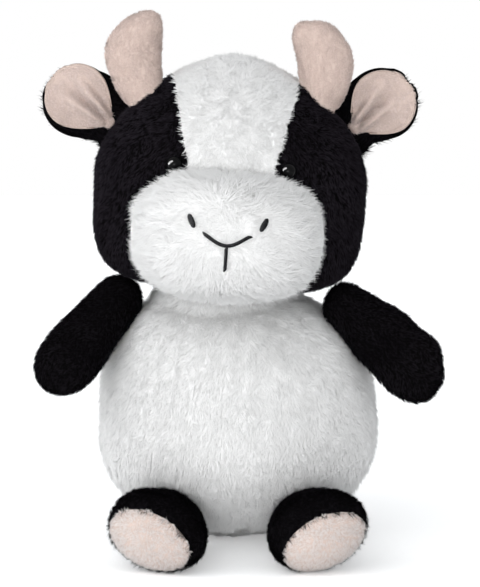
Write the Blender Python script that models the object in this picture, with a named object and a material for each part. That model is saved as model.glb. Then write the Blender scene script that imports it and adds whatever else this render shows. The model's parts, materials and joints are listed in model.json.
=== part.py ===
"""Seated plush cow: sewn plush covers over wads of fibre fill.

Metres, +Z up. The toy faces -Y and sits on the centre of its base panel, which is the
origin. Left means the -X side. Every piece is modelled in place, and is then handed to
the empty that stands on the joint of its body.
"""
import math

import bmesh
import bpy
from mathutils import Matrix, Vector

MM = 0.001

# Cloth thickness, pile included, and clearances
LONG_PILE = 3.0 * MM
BLACK_PILE = 2.4 * MM
VELOUR = 1.6 * MM
GAP = 0.4 * MM
SEAM_GAP = 0.4 * MM
SURE = 0.05 * MM
WELD = 0.01 * MM
OVERRUN = 30 * MM
FLOOR_CUT = 0.5 * MM

# Torso: an egg that rests on a flat, with a round dome that the head turns on
TORSO_HALF_WIDTH = 65 * MM
TORSO_HALF_DEPTH = 56 * MM
TORSO_WIDEST = 50 * MM
TORSO_RISE = 68 * MM
TORSO_TOP_SQUARENESS = 2.6
TORSO_LOW_SQUARENESS = 2.1
TORSO_PRESS = 2.5 * MM
TORSO_SEAT_BACK = 9 * MM
BASE_SEAM_HEIGHT = 9 * MM
NECK_LEFT = 5 * MM
NECK_BACK = 2 * MM
NECK_UP = 97 * MM
DOME_RADIUS = 38 * MM
NECK_HOLE_RADIUS = 16 * MM
NECK_RING_WALL = 1.6 * MM
NECK_RING_LOW = math.radians(34)
NECK_RING_HIGH = math.radians(55)
POUCH_HALF_WIDTH = 30 * MM
POUCH_HALF_DEPTH = 28 * MM
POUCH_HALF_HEIGHT = 17 * MM
POUCH_BACK = 4 * MM
POUCH_HEIGHT = 15 * MM

# Head, measured from the neck's centre, and rolled a little towards its left side
HEAD_ROLL = math.radians(3.5)
HEAD_LEFT = 2.3 * MM
HEAD_FORWARD = 7 * MM
HEAD_OVER_NECK = 71 * MM
HEAD_HALF_WIDTH = 63 * MM
HEAD_FRONT = 53 * MM
HEAD_BACK = 58 * MM
HEAD_UP = 56 * MM
HEAD_DOWN = 53 * MM
HEAD_TOP_SQUARENESS = 1.62
HEAD_LOW_SQUARENESS = 3.7
HEAD_PLAN_SQUARENESS = 2.1
BLAZE_HALF_WIDTH = 17.5 * MM
BLAZE_SPREAD_SHARE = 0.24

# Muzzle, measured from the head's centre
MUZZLE_FORWARD = 42 * MM
MUZZLE_DROP = 24.5 * MM
MUZZLE_HALF_WIDTH = 42 * MM
MUZZLE_FRONT = 40 * MM
MUZZLE_BACK = 24 * MM
MUZZLE_HALF_HEIGHT = 29.5 * MM
MUZZLE_SQUARENESS = 2.6
MUZZLE_PLAN_SQUARENESS = 2.2

# Eyes: a domed bead, its shank, and the washer that locks it inside
EYE_OUT = 25.3 * MM
EYE_UP = 5 * MM
EYE_RADIUS = 3.2 * MM
EYE_HEIGHT = 3.6 * MM
EYE_SINK = 1.6 * MM
SHANK_RADIUS = 1.0 * MM
SHANK_LENGTH = 7.5 * MM
WASHER_RADIUS = 5.2 * MM
WASHER_WALL = 1.2 * MM
WASHER_SAG = 2.7 * MM

# Embroidery on the muzzle, measured from the muzzle's centre
NOSTRIL_OUT = 15.2 * MM
NOSTRIL_UP = 7.5 * MM
NOSTRIL_HALF_WIDTH = 2.0 * MM
NOSTRIL_HALF_HEIGHT = 2.9 * MM
NOSTRIL_LIFT = 1.7 * MM
NOSTRIL_LEAN = math.radians(18)
THREAD_RADIUS = 0.8 * MM
MOUTH_HALF_WIDTH = 9.8 * MM
MOUTH_END = 2.5 * MM
MOUTH_DIP = 1.9 * MM
MOUTH_POINT = 1.5
LIP_LENGTH = 10 * MM
LIP_GAP = 0.5 * MM

# Horns, measured from the head's centre
LEFT_HORN_OUT = 34.9 * MM
RIGHT_HORN_OUT = 31.9 * MM
HORN_FRONT = 4 * MM
HORN_UP = 27 * MM
HORN_ROOT = 12 * MM
HORN_HALF_WIDTH = 13.2 * MM
HORN_HALF_DEPTH = 10.5 * MM
HORN_LENGTH = 45.5 * MM
HORN_CAP = 13 * MM
HORN_BOW = 8 * MM
HORN_LEANS = {"left": math.radians(11), "right": math.radians(0.5)}

# Ears, measured from the head's centre
EAR_OUT = 53.4 * MM
EAR_BACK = 15.5 * MM
LEFT_EAR_UP = 17.4 * MM
RIGHT_EAR_UP = 21.9 * MM
EAR_ROOT = 12 * MM
EAR_ROOT_HALF_WALL = 3.4 * MM
EAR_HALF_WIDTH = 16 * MM
EAR_HALF_WALL = 1.5 * MM
EAR_LENGTH = 38 * MM
EAR_CAP = 15 * MM
EAR_CUP = 6 * MM
EAR_FORWARDS = {"left": math.radians(8), "right": math.radians(24)}
EAR_RISES = {"left": math.radians(32), "right": math.radians(44)}
LINING_MARGIN = 2.2 * MM
LINING_HALF_WALL = 0.8 * MM
LINING_START = 6 * MM
LINING_ROOT = 3 * MM
LINING_ROOT_LIFT = 1.7 * MM
LINING_TILT = math.radians(3)

# Arms: the shoulder stands proud of the torso's side, below the torso's top
LEFT_ARM_PROUD = 15 * MM
RIGHT_ARM_PROUD = 15 * MM
LEFT_ARM_FRONT = 10 * MM
RIGHT_ARM_FRONT = 16 * MM
LEFT_ARM_DROP = 6.5 * MM
RIGHT_ARM_DROP = 9.5 * MM
LEFT_ARM_TIP_OUT = 74 * MM
RIGHT_ARM_TIP_OUT = 75.5 * MM
LEFT_ARM_TIP_FRONT = 37 * MM
RIGHT_ARM_TIP_FRONT = 32 * MM
LEFT_ARM_TIP_UP = 86.5 * MM
RIGHT_ARM_TIP_UP = 83.5 * MM
ARM_ROLLS = {"left": math.radians(45), "right": math.radians(0)}
ARM_ROOT = 9.5 * MM
ARM_HALF_WIDTH = 16 * MM
ARM_HALF_THICKNESS = 12 * MM
ARM_CAP = 19 * MM
ARM_BOW = 2 * MM

# Legs: the hip stands proud of the torso's front, and the foot is cut flat on the floor
LEG_OUT = 29 * MM
LEG_PROUD = 9.9 * MM
LEG_UP = 16.5 * MM
LEG_SPLAY = math.radians(11)
LEG_ROLL = math.radians(21)
LEG_ROOT = 12.5 * MM
FOOT_HALF_WIDTH = 22.8 * MM
FOOT_HALF_HEIGHT = 17 * MM
LEG_LENGTH = 46 * MM
FOOT_CAP = 17 * MM
SOLE_DEPTH = 8 * MM
SOLE_TILTS = {"left": math.radians(19), "right": math.radians(25)}
SOLE_TURN = math.radians(9)

# Tail and its tuft
TAIL_UP = 32 * MM
TAIL_ROOT = 4.6 * MM
TAIL_HALF_WIDTH = 3.8 * MM
TAIL_LENGTH = 24 * MM
TAIL_CAP = 4 * MM
TAIL_DROP = math.radians(41)
TUFT_HALF_WIDTH = 6.2 * MM
TUFT_LENGTH = 18 * MM
TUFT_CAP = 11 * MM
TUFT_ROOT = 4 * MM

# Sewn-in label, blank
LABEL_OUT = 17 * MM
LABEL_WIDTH = 14 * MM
LABEL_LENGTH = 9 * MM
LABEL_WALL = 0.7 * MM

# Limb roots: angle of the waist above the ball's middle, and the opening for the fill
WAIST = math.radians(24)
OPENING_SHARE = 0.45

# Mesh counts
BODY_SIDES = 20
BODY_ROWS = 10
CORE_SIDES = 16
CORE_ROWS = 8
LIMB_SIDES = 12
LIMB_CORE_SIDES = 8
TIP_ROWS = 3
SPAN_ROWS = 3
ROOT_ROWS = 3
SMALL_SIDES = 12
SMALL_ROWS = 6
DOME_STEPS = 4
RING_STEPS = 2
MOUTH_STEPS = 8
LIP_STEPS = 4
ROUND = 2.0
CREASE = math.radians(50)

SIDES = {"left": -1, "right": 1}

# Places built from the sizes above
NECK = Vector((-NECK_LEFT, NECK_BACK, NECK_UP))
HEAD_SHIFT = Vector((-HEAD_LEFT, -HEAD_FORWARD, HEAD_OVER_NECK))
MUZZLE_AT = Vector((0, -MUZZLE_FORWARD, -MUZZLE_DROP))
HORN_OUTS = {"left": LEFT_HORN_OUT, "right": RIGHT_HORN_OUT}
ARM_PROUDS = {"left": LEFT_ARM_PROUD, "right": RIGHT_ARM_PROUD}
ARM_FRONTS = {"left": LEFT_ARM_FRONT, "right": RIGHT_ARM_FRONT}
ARM_DROPS = {"left": LEFT_ARM_DROP, "right": RIGHT_ARM_DROP}
ARM_TIP_OUTS = {"left": LEFT_ARM_TIP_OUT, "right": RIGHT_ARM_TIP_OUT}
ARM_TIP_FRONTS = {"left": LEFT_ARM_TIP_FRONT, "right": RIGHT_ARM_TIP_FRONT}
ARM_TIP_UPS = {"left": LEFT_ARM_TIP_UP, "right": RIGHT_ARM_TIP_UP}
EAR_UPS = {"left": LEFT_EAR_UP, "right": RIGHT_EAR_UP}

WHITE = ("white_plush", (0.84, 0.84, 0.83), 0.95)
BLACK = ("black_plush", (0.016, 0.014, 0.018), 0.85)
PALE = ("pale_velour", (0.74, 0.62, 0.57), 0.9)
FILL = ("fibre_fill", (0.88, 0.88, 0.86), 1.0)
POUCH_CLOTH = ("pouch_cloth", (0.72, 0.70, 0.64), 0.9)
GLOSS = ("eye_plastic", (0.01, 0.01, 0.012), 0.12)
WASHER = ("washer_plastic", (0.82, 0.82, 0.80), 0.45)
THREAD = ("black_thread", (0.02, 0.02, 0.022), 0.6)
TAPE = ("seam_tape", (0.8, 0.8, 0.78), 0.9)


def clear_scene():
    """Remove whatever objects the open file holds."""
    for obj in list(bpy.data.objects):
        bpy.data.objects.remove(obj, do_unlink=True)


def dress(obj, finish):
    """Give an object its material, made on first use."""
    name, colour, roughness = finish
    material = bpy.data.materials.get(name)
    if material is None:
        material = bpy.data.materials.new(name)
        material.use_nodes = True
        shader = material.node_tree.nodes["Principled BSDF"]
        shader.inputs["Base Color"].default_value = (*colour, 1)
        shader.inputs["Roughness"].default_value = roughness
        shader.inputs["Metallic"].default_value = 0
    obj.data.materials.clear()
    obj.data.materials.append(material)
    return obj


def make_object(name, bm):
    """Turn a bmesh into an object of the scene."""
    mesh = bpy.data.meshes.new(name)
    bm.to_mesh(mesh)
    bm.free()
    obj = bpy.data.objects.new(name, mesh)
    bpy.context.scene.collection.objects.link(obj)
    return obj


def soft_form(name, place, sides, rows, grow=0.0, at=None):
    """A closed form: a ball whose points are carried to place(share down, turn round)."""
    bm = bmesh.new()
    bmesh.ops.create_uvsphere(bm, u_segments=sides, v_segments=rows, radius=1)
    for vert in bm.verts:
        share = math.acos(max(-1.0, min(1.0, vert.co.z))) / math.pi
        vert.co = place(share, math.atan2(vert.co.y, vert.co.x))
    bm.normal_update()
    moves = [(vert, vert.normal * grow) for vert in bm.verts]
    for vert, move in moves:
        vert.co += move
    bm.transform(at or Matrix())
    return make_object(name, bm)


def power(value, exponent):
    """A power that keeps the sign."""
    return math.copysign(abs(value) ** exponent, value)


def egg(half_width, front, back, up, down, top_squareness, low_squareness, plan_squareness):
    """Placer of a swelling body about its widest level."""

    def place(share, turn):
        level = math.cos(share * math.pi)
        rise, squareness = (up, top_squareness) if level > 0 else (down, low_squareness)
        reach = abs(math.sin(share * math.pi)) ** (2 / squareness)
        depth = back if math.sin(turn) > 0 else front
        return Vector((
            half_width * reach * power(math.cos(turn), 2 / plan_squareness),
            depth * reach * power(math.sin(turn), 2 / plan_squareness),
            rise * power(level, 2 / squareness),
        ))

    return place


def limb(
    root, half_width, half_thickness, length, cap, bow=0.0, cup=0.0, root_half_wall=None,
    cup_start=0.0,
):
    """Placer of a stuffed limb along +Z: a round root, a pinched waist, a swell and a tip.

    bow arches the middle towards +X. cup bends the edges towards -Y, from cup_start before
    the root on. root_half_wall makes a flat disc of the ball root.
    """
    rows = TIP_ROWS + SPAN_ROWS + ROOT_ROWS
    waist_up = root * math.sin(WAIST)
    waist_radius = root * math.cos(WAIST)
    root_wall = root_half_wall or root
    waist_wall = root_wall * math.cos(WAIST)
    widest = length - cap

    def place(share, turn):
        row = share * rows
        if row <= TIP_ROWS:
            angle = row / TIP_ROWS * math.pi / 2
            along = widest + cap * math.cos(angle)
            wide = half_width * math.sin(angle)
            thick = half_thickness * math.sin(angle)
        elif row <= TIP_ROWS + SPAN_ROWS:
            swell = 1 - (row - TIP_ROWS) / SPAN_ROWS
            along = waist_up + (widest - waist_up) * swell
            ease = math.sin(swell * math.pi / 2)
            wide = waist_radius + (half_width - waist_radius) * ease
            thick = waist_wall + (half_thickness - waist_wall) * ease
        else:
            angle = (row - TIP_ROWS - SPAN_ROWS) / ROOT_ROWS * (math.pi / 2 + WAIST) - WAIST
            along = -root * math.sin(angle)
            wide = root * math.cos(angle)
            thick = root_wall * math.cos(angle)
        arch = bow * math.sin(math.pi * max(0.0, along) / length)
        across = wide * math.cos(turn)
        started = min(1.0, max(0.0, along + cup_start) / (widest + cup_start))
        dish = cup * started * (across / half_width) ** 2
        return Vector((across + arch, thick * math.sin(turn) - dish, along))

    return place


def limb_form(name, place, grow, at):
    """A limb's closed form; what lies inside its cloth is plainer."""
    sides = LIMB_SIDES if grow >= 0 else LIMB_CORE_SIDES
    return soft_form(name, place, sides, TIP_ROWS + SPAN_ROWS + ROOT_ROWS, grow, at)


def body_form(name, place, grow, at):
    """A larger closed form; what lies inside its cloth is plainer."""
    if grow < 0:
        return soft_form(name, place, CORE_SIDES, CORE_ROWS, grow, at)
    return soft_form(name, place, BODY_SIDES, BODY_ROWS, grow, at)


def ball(name, centre, radius, sides=CORE_SIDES, rows=CORE_ROWS):
    """A round ball with its points on the radius."""
    bm = bmesh.new()
    bmesh.ops.create_uvsphere(bm, u_segments=sides, v_segments=rows, radius=radius)
    bm.transform(Matrix.Translation(centre))
    return make_object(name, bm)


def socket_ball(name, centre, radius, sides=SMALL_SIDES, rows=SMALL_ROWS):
    """A ball cutter whose flats clear a turning ball of this radius by the gap."""
    flat_share = math.cos(math.pi / sides) * math.cos(math.pi / (2 * rows))
    return ball(name, centre, (radius + GAP) / flat_share, sides, rows)


def block(name, low, high, at=None):
    """A box between two corners, used as a cutter."""
    bm = bmesh.new()
    bmesh.ops.create_cube(bm, size=1)
    middle = (Vector(low) + Vector(high)) / 2
    spread = Vector(high) - Vector(low)
    bm.transform(Matrix.Translation(middle) @ Matrix.Diagonal((*spread, 1)))
    bm.transform(at or Matrix())
    return make_object(name, bm)


def rod(name, radius, low, high, at=None, sides=SMALL_SIDES):
    """A round bar along Z between two heights, used as a cutter."""
    bm = bmesh.new()
    bmesh.ops.create_cone(
        bm, cap_ends=True, segments=sides, radius1=radius, radius2=radius, depth=high - low
    )
    bm.transform(Matrix.Translation((0, 0, (low + high) / 2)))
    bm.transform(at or Matrix())
    return make_object(name, bm)


def lathe(name, profile, at, closed=False, sides=SMALL_SIDES):
    """A turned piece: profile lists radius and height, from the top down its outer side."""
    bm = bmesh.new()
    verts = [bm.verts.new((radius, 0, height)) for radius, height in profile]
    pairs = list(zip(verts, verts[1:]))
    if closed:
        pairs.append((verts[-1], verts[0]))
    edges = [bm.edges.new(pair) for pair in pairs]
    bmesh.ops.spin(
        bm, geom=verts + edges, cent=(0, 0, 0), axis=(0, 0, 1), angle=math.tau, steps=sides,
        use_merge=True,
    )
    bmesh.ops.remove_doubles(bm, verts=bm.verts, dist=WELD)
    bmesh.ops.recalc_face_normals(bm, faces=bm.faces)
    bm.transform(at)
    return make_object(name, bm)


def copy_of(obj, name):
    """A copy of an object with a mesh of its own."""
    twin = bpy.data.objects.new(name, obj.data.copy())
    bpy.context.scene.collection.objects.link(twin)
    return twin


def combine(obj, operation, *others):
    """Apply Boolean steps to an object, and remove the objects used as cutters."""
    for other in others:
        step = obj.modifiers.new(operation, "BOOLEAN")
        step.operation = operation
        step.object = other
        bpy.context.view_layer.update()
        evaluated = obj.evaluated_get(bpy.context.evaluated_depsgraph_get())
        mesh = bpy.data.meshes.new_from_object(evaluated)
        obj.modifiers.clear()
        worn = obj.data
        obj.data = mesh
        bpy.data.meshes.remove(worn)
        bpy.data.objects.remove(other, do_unlink=True)
    return obj


def cut(obj, *cutters):
    """Take the cutters out of an object."""
    return combine(obj, "DIFFERENCE", *cutters)


def keep(obj, *regions):
    """Keep what lies in every region."""
    return combine(obj, "INTERSECT", *regions)


def join(obj, *others):
    """Join solids into one body."""
    return combine(obj, "UNION", *others)


def finish(obj, look):
    """Weld, shade and dress a finished piece."""
    bm = bmesh.new()
    bm.from_mesh(obj.data)
    bmesh.ops.remove_doubles(bm, verts=bm.verts, dist=WELD)
    bmesh.ops.dissolve_degenerate(bm, edges=bm.edges, dist=WELD)
    bmesh.ops.triangulate(bm, faces=bm.faces)
    bm.to_mesh(obj.data)
    bm.free()
    obj.data.shade_smooth()
    obj.data.set_sharp_from_angle(angle=CREASE)
    return dress(obj, look)


def head_frame():
    """The head's own upright frame, with its origin at the head's centre."""
    roll = Matrix.Rotation(HEAD_ROLL, 4, "Y")
    return Matrix.Translation(NECK) @ roll @ Matrix.Translation(HEAD_SHIFT)


def aim(origin, direction, side_hint):
    """A frame at origin with +Z along direction and +X as near side_hint as it can be."""
    up = direction.normalized()
    thick = up.cross(side_hint).normalized()
    wide = thick.cross(up)
    frame = Matrix((wide, thick, up)).transposed().to_4x4()
    return Matrix.Translation(origin) @ frame


TORSO = egg(
    TORSO_HALF_WIDTH, TORSO_HALF_DEPTH, TORSO_HALF_DEPTH, TORSO_RISE,
    TORSO_WIDEST + TORSO_PRESS, TORSO_TOP_SQUARENESS, TORSO_LOW_SQUARENESS, ROUND,
)
HEAD = egg(
    HEAD_HALF_WIDTH, HEAD_FRONT, HEAD_BACK, HEAD_UP, HEAD_DOWN,
    HEAD_TOP_SQUARENESS, HEAD_LOW_SQUARENESS, HEAD_PLAN_SQUARENESS,
)
MUZZLE = egg(
    MUZZLE_HALF_WIDTH, MUZZLE_FRONT, MUZZLE_BACK, MUZZLE_HALF_HEIGHT, MUZZLE_HALF_HEIGHT,
    MUZZLE_SQUARENESS, MUZZLE_SQUARENESS, MUZZLE_PLAN_SQUARENESS,
)


def seat_shift(level):
    """How far back the torso lies at a level below its widest one."""
    return TORSO_SEAT_BACK * (level / TORSO_WIDEST) ** 2


def lean_shift(level):
    """How far to the left the torso leans at a level above its widest one."""
    return NECK_LEFT * (level / TORSO_RISE) ** 2


def torso_place(share, turn):
    """Placer of the torso, pressed flat at the floor: the seat lies back, the top leans."""
    point = TORSO(share, turn)
    point.z = max(point.z, -TORSO_WIDEST - FLOOR_CUT)
    if point.z < 0:
        point.y += seat_shift(point.z)
    else:
        point.x -= lean_shift(point.z)
    return point


def low_depth(across, height):
    """Half depth of the torso at a place below its widest level, before the seat's shift."""
    level = (TORSO_WIDEST - height) / (TORSO_WIDEST + TORSO_PRESS)
    reach = (1 - level ** TORSO_LOW_SQUARENESS) ** (1 / TORSO_LOW_SQUARENESS)
    return TORSO_HALF_DEPTH * reach * math.sqrt(1 - (across / (TORSO_HALF_WIDTH * reach)) ** 2)


def torso_back(across, height):
    """Point on the torso's back, below its widest level."""
    shift = seat_shift(height - TORSO_WIDEST)
    return Vector((across, low_depth(across, height) + shift, height))


def torso_front(across, height):
    """Point on the torso's front, below its widest level."""
    shift = seat_shift(height - TORSO_WIDEST)
    return Vector((across, shift - low_depth(across, height), height))


def high_width(along, height):
    """Half width of the torso at a place above its widest level."""
    level = (height - TORSO_WIDEST) / TORSO_RISE
    reach = (1 - level ** TORSO_TOP_SQUARENESS) ** (1 / TORSO_TOP_SQUARENESS)
    return TORSO_HALF_WIDTH * reach * math.sqrt(1 - (along / (TORSO_HALF_DEPTH * reach)) ** 2)


def torso_egg(name, grow=0.0):
    """The torso's egg, grown or shrunk."""
    return body_form(name, torso_place, grow, Matrix.Translation((0, 0, TORSO_WIDEST)))


def torso_form(name, grow=0.0):
    """The torso's egg with the neck dome on it, grown or shrunk."""
    if grow < 0:
        return join(torso_egg(name, grow), ball("dome", NECK, DOME_RADIUS + grow))
    return join(torso_egg(name, grow), ball("dome", NECK, DOME_RADIUS, BODY_SIDES, BODY_ROWS))


def head_form(name, grow=0.0):
    """The head's form, grown or shrunk."""
    return body_form(name, HEAD, grow, head_frame())


def muzzle_frame():
    """The muzzle's frame, at the middle of its widest ring."""
    return head_frame() @ Matrix.Translation(MUZZLE_AT)


def muzzle_form(name, grow=0.0):
    """The muzzle's form, grown or shrunk."""
    return body_form(name, MUZZLE, grow, muzzle_frame())


def neck_ball_radius():
    """Radius of the head's hollow round the neck: dome, gap, seam ring, gap."""
    return neck_ring_inner() + NECK_RING_WALL


def neck_ring_inner():
    """Inner radius of the seam ring, whose flats clear the dome."""
    return (DOME_RADIUS + GAP) / math.cos(math.pi / BODY_SIDES)


def shoulder(side):
    """Centre of an arm's ball root."""
    height = TORSO_WIDEST + TORSO_RISE - ARM_DROPS[side]
    out = high_width(ARM_FRONTS[side], height) + ARM_PROUDS[side]
    across = SIDES[side] * out - lean_shift(height - TORSO_WIDEST)
    return Vector((across, -ARM_FRONTS[side], height))


def hip(side):
    """Centre of a leg's ball root."""
    return torso_front(SIDES[side] * LEG_OUT, LEG_UP) - Vector((0, LEG_PROUD, 0))


def tail_root():
    """Centre of the tail's ball root, on the torso's back."""
    return torso_back(0, TAIL_UP)


def root_sockets():
    """Cutters that make room for the ball roots sewn into the torso."""
    cutters = [socket_ball(f"{side}_shoulder", shoulder(side), ARM_ROOT) for side in SIDES]
    cutters += [socket_ball(f"{side}_hip", hip(side), LEG_ROOT) for side in SIDES]
    cutters.append(socket_ball("tail_socket", tail_root(), TAIL_ROOT))
    return cutters


def floor_block(name):
    """Everything below the floor."""
    reach = TORSO_HALF_WIDTH * 2
    return block(name, (-reach, -reach, -reach), (reach, reach, 0))


def half_space(name, low_z, high_z, front):
    """The room of one torso panel: before or behind the side seams, between two heights."""
    reach = TORSO_HALF_WIDTH + OVERRUN
    if front:
        return block(name, (-reach, -reach, low_z), (reach, -SEAM_GAP / 2, high_z))
    return block(name, (-reach, SEAM_GAP / 2, low_z), (reach, reach, high_z))


def build_torso():
    """Front, back and base panels, the fill inside them and the pellet pouch."""
    top = NECK.z + DOME_RADIUS + OVERRUN
    seam = BASE_SEAM_HEIGHT + SEAM_GAP / 2
    reach = TORSO_HALF_WIDTH + OVERRUN
    shell = cut(torso_form("shell"), torso_form("inner", -LONG_PILE), floor_block("floor"))
    hole = rod("neck_hole", NECK_HOLE_RADIUS, NECK.z, top, Matrix.Translation((NECK.x, NECK.y, 0)))
    shell = cut(shell, hole, *root_sockets())
    pieces = []
    for name, front in (("torso_front_panel", True), ("torso_back_panel", False)):
        panel = keep(copy_of(shell, name), half_space("room", seam, top, front))
        pieces.append(finish(panel, WHITE))
    below = block("below", (-reach, -reach, -reach), (reach, reach, seam - SEAM_GAP))
    pieces.append(finish(keep(shell, below), WHITE))
    pieces[-1].name = "torso_base_panel"

    inside = -LONG_PILE - GAP
    pouch = egg(
        POUCH_HALF_WIDTH, POUCH_HALF_DEPTH, POUCH_HALF_DEPTH, POUCH_HALF_HEIGHT,
        POUCH_HALF_HEIGHT, ROUND, ROUND, ROUND,
    )
    at = Matrix.Translation((0, POUCH_BACK, POUCH_HEIGHT))
    bag = soft_form("pellet_pouch", pouch, CORE_SIDES, CORE_ROWS, 0.0, at)
    pieces.append(finish(keep(bag, torso_egg("room", inside)), POUCH_CLOTH))
    hollow = soft_form("hollow", pouch, CORE_SIDES, CORE_ROWS, GAP, at)
    fill = cut(torso_form("torso_fill", inside), hollow, *root_sockets())
    pieces.append(finish(fill, FILL))
    return pieces


def build_neck():
    """The ring of folded seam allowance between the dome and the head."""
    inner = neck_ring_inner()
    outer = inner + NECK_RING_WALL
    step = (NECK_RING_HIGH - NECK_RING_LOW) / RING_STEPS
    angles = [NECK_RING_LOW + step * k for k in range(RING_STEPS + 1)]
    outside = [(outer * math.cos(angle), outer * math.sin(angle)) for angle in reversed(angles)]
    inside = [(inner * math.cos(angle), inner * math.sin(angle)) for angle in angles]
    ring = lathe(
        "neck_seam_ring", outside + inside, Matrix.Translation(NECK), closed=True,
        sides=BODY_SIDES,
    )
    return [finish(ring, TAPE)]


def blaze_wedge(name, grow):
    """The wedge that parts the blaze from the side panels, wider towards the crown."""
    high = HEAD_UP + OVERRUN
    low = -HEAD_DOWN - OVERRUN
    bm = bmesh.new()
    bmesh.ops.create_cube(bm, size=2)
    for vert in bm.verts:
        level = high if vert.co.z > 0 else low
        half = BLAZE_HALF_WIDTH + BLAZE_SPREAD_SHARE * level + grow
        depth = HEAD_FRONT + HEAD_BACK
        vert.co = Vector((vert.co.x * max(half, SURE), vert.co.y * depth, level))
    bm.transform(head_frame())
    return make_object(name, bm)


def eye_frame(side):
    """Frame on the face with +Z out of it, where an eye is fixed."""
    level = (EYE_UP / HEAD_UP) ** HEAD_TOP_SQUARENESS
    reach = (1 - level) ** (1 / HEAD_TOP_SQUARENESS)
    across = (EYE_OUT / HEAD_HALF_WIDTH) ** HEAD_PLAN_SQUARENESS
    front = HEAD_FRONT * (reach ** HEAD_PLAN_SQUARENESS - across) ** (1 / HEAD_PLAN_SQUARENESS)
    point = Vector((SIDES[side] * EYE_OUT, -front, EYE_UP))
    normal = Vector((
        point.x / HEAD_HALF_WIDTH ** 2, point.y / HEAD_FRONT ** 2, point.z / HEAD_UP ** 2
    ))
    return head_frame() @ aim(point, normal, Vector((0, 0, 1)))


def washer_top():
    """Depth of a washer's outer face below the face cloth's outer surface."""
    return LONG_PILE + WASHER_SAG


def eye_clearance(name, side):
    """Cutter that sinks an eye's bead into the pile and keeps the muzzle off it."""
    reach = (EYE_RADIUS + GAP) / math.cos(math.pi / SMALL_SIDES)
    return rod(name, reach, -EYE_SINK - GAP, OVERRUN, eye_frame(side))


def build_eyes():
    """Safety eyes with their shanks, and the washers that lock them."""
    pieces = []
    bend = [math.pi / 2 * k / DOME_STEPS for k in range(DOME_STEPS + 1)]
    for side in SIDES:
        at = eye_frame(side)
        dome = [(EYE_RADIUS * math.sin(a), EYE_HEIGHT * math.cos(a) - EYE_SINK) for a in bend]
        shank = [(SHANK_RADIUS, -EYE_SINK), (SHANK_RADIUS, -SHANK_LENGTH), (0, -SHANK_LENGTH)]
        pieces.append(finish(lathe(f"{side}_eye", dome + shank, at), GLOSS))
        bore = (SHANK_RADIUS + GAP) / math.cos(math.pi / SMALL_SIDES)
        high = -washer_top()
        low = high - WASHER_WALL
        ring = [(bore, high), (WASHER_RADIUS, high), (WASHER_RADIUS, low), (bore, low)]
        pieces.append(finish(lathe(f"{side}_eye_washer", ring, at, closed=True), WASHER))
    return pieces


def build_head():
    """Blaze, side panels and head fill, hollowed round the neck."""
    hollow = neck_ball_radius()
    shell = cut(
        head_form("shell"), head_form("inner", -LONG_PILE),
        socket_ball("neck", NECK, hollow, BODY_SIDES, BODY_ROWS),
    )
    shank_hole = (SHANK_RADIUS + GAP) / math.cos(math.pi / SMALL_SIDES)
    for side in SIDES:
        hole = rod("hole", shank_hole, -OVERRUN, OVERRUN, eye_frame(side))
        shell = cut(shell, hole, eye_clearance("bead", side), ear_socket("ear", side))
    blaze = keep(copy_of(shell, "head_blaze_panel"), blaze_wedge("wedge", -SEAM_GAP / 2))
    pieces = [finish(blaze, WHITE)]
    reach = HEAD_HALF_WIDTH + OVERRUN
    for side, sign in SIDES.items():
        far = sign * reach
        room = block(
            "room", (min(0, far), -reach, -reach), (max(0, far), reach, reach), head_frame()
        )
        panel = keep(copy_of(shell, f"head_{side}_panel"), room)
        pieces.append(finish(cut(panel, blaze_wedge("wedge", SEAM_GAP / 2)), BLACK))
    bpy.data.objects.remove(shell, do_unlink=True)
    fill = cut(
        head_form("head_fill", -LONG_PILE - GAP),
        socket_ball("neck", NECK, hollow, BODY_SIDES, BODY_ROWS),
    )
    pocket = WASHER_RADIUS + GAP
    for side in SIDES:
        room = rod("pocket", pocket, -SHANK_LENGTH - GAP, OVERRUN, eye_frame(side))
        fill = cut(fill, room, ear_socket("ear", side))
    pieces.append(finish(fill, FILL))
    return pieces


def build_muzzle():
    """Muzzle cover and its fill, both open where they meet the face."""
    cover = cut(muzzle_form("muzzle_cover"), muzzle_form("inner", -LONG_PILE))
    fill = muzzle_form("muzzle_fill", -LONG_PILE - GAP)
    for piece in (cover, fill):
        neck = socket_ball("neck", NECK, neck_ball_radius() + GAP, BODY_SIDES, BODY_ROWS)
        cut(piece, head_form("face", GAP), neck, *[eye_clearance("eye", s) for s in SIDES])
    return [finish(cover, WHITE), finish(fill, FILL)]


def on_muzzle(across, up, lift):
    """Point on the muzzle's front, in its own frame, lifted off towards -Y."""
    level = abs(up / MUZZLE_HALF_HEIGHT) ** MUZZLE_SQUARENESS
    reach = (1 - level) ** (1 / MUZZLE_SQUARENESS)
    wide = abs(across / MUZZLE_HALF_WIDTH) ** MUZZLE_PLAN_SQUARENESS
    deep = (reach ** MUZZLE_PLAN_SQUARENESS - wide) ** (1 / MUZZLE_PLAN_SQUARENESS)
    return Vector((across, -MUZZLE_FRONT * deep - lift, up))


def stitch(name, points):
    """A line of satin stitches: a thin round bar through points of the muzzle."""
    curve = bpy.data.curves.new(name, "CURVE")
    curve.dimensions = "3D"
    curve.bevel_depth = THREAD_RADIUS
    curve.bevel_resolution = 1
    curve.use_fill_caps = True
    spline = curve.splines.new("POLY")
    spline.points.add(len(points) - 1)
    for knot, point in zip(spline.points, points):
        knot.co = (*(muzzle_frame() @ point), 1)
    obj = bpy.data.objects.new(name, curve)
    bpy.context.scene.collection.objects.link(obj)
    return dress(obj, THREAD)


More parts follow.
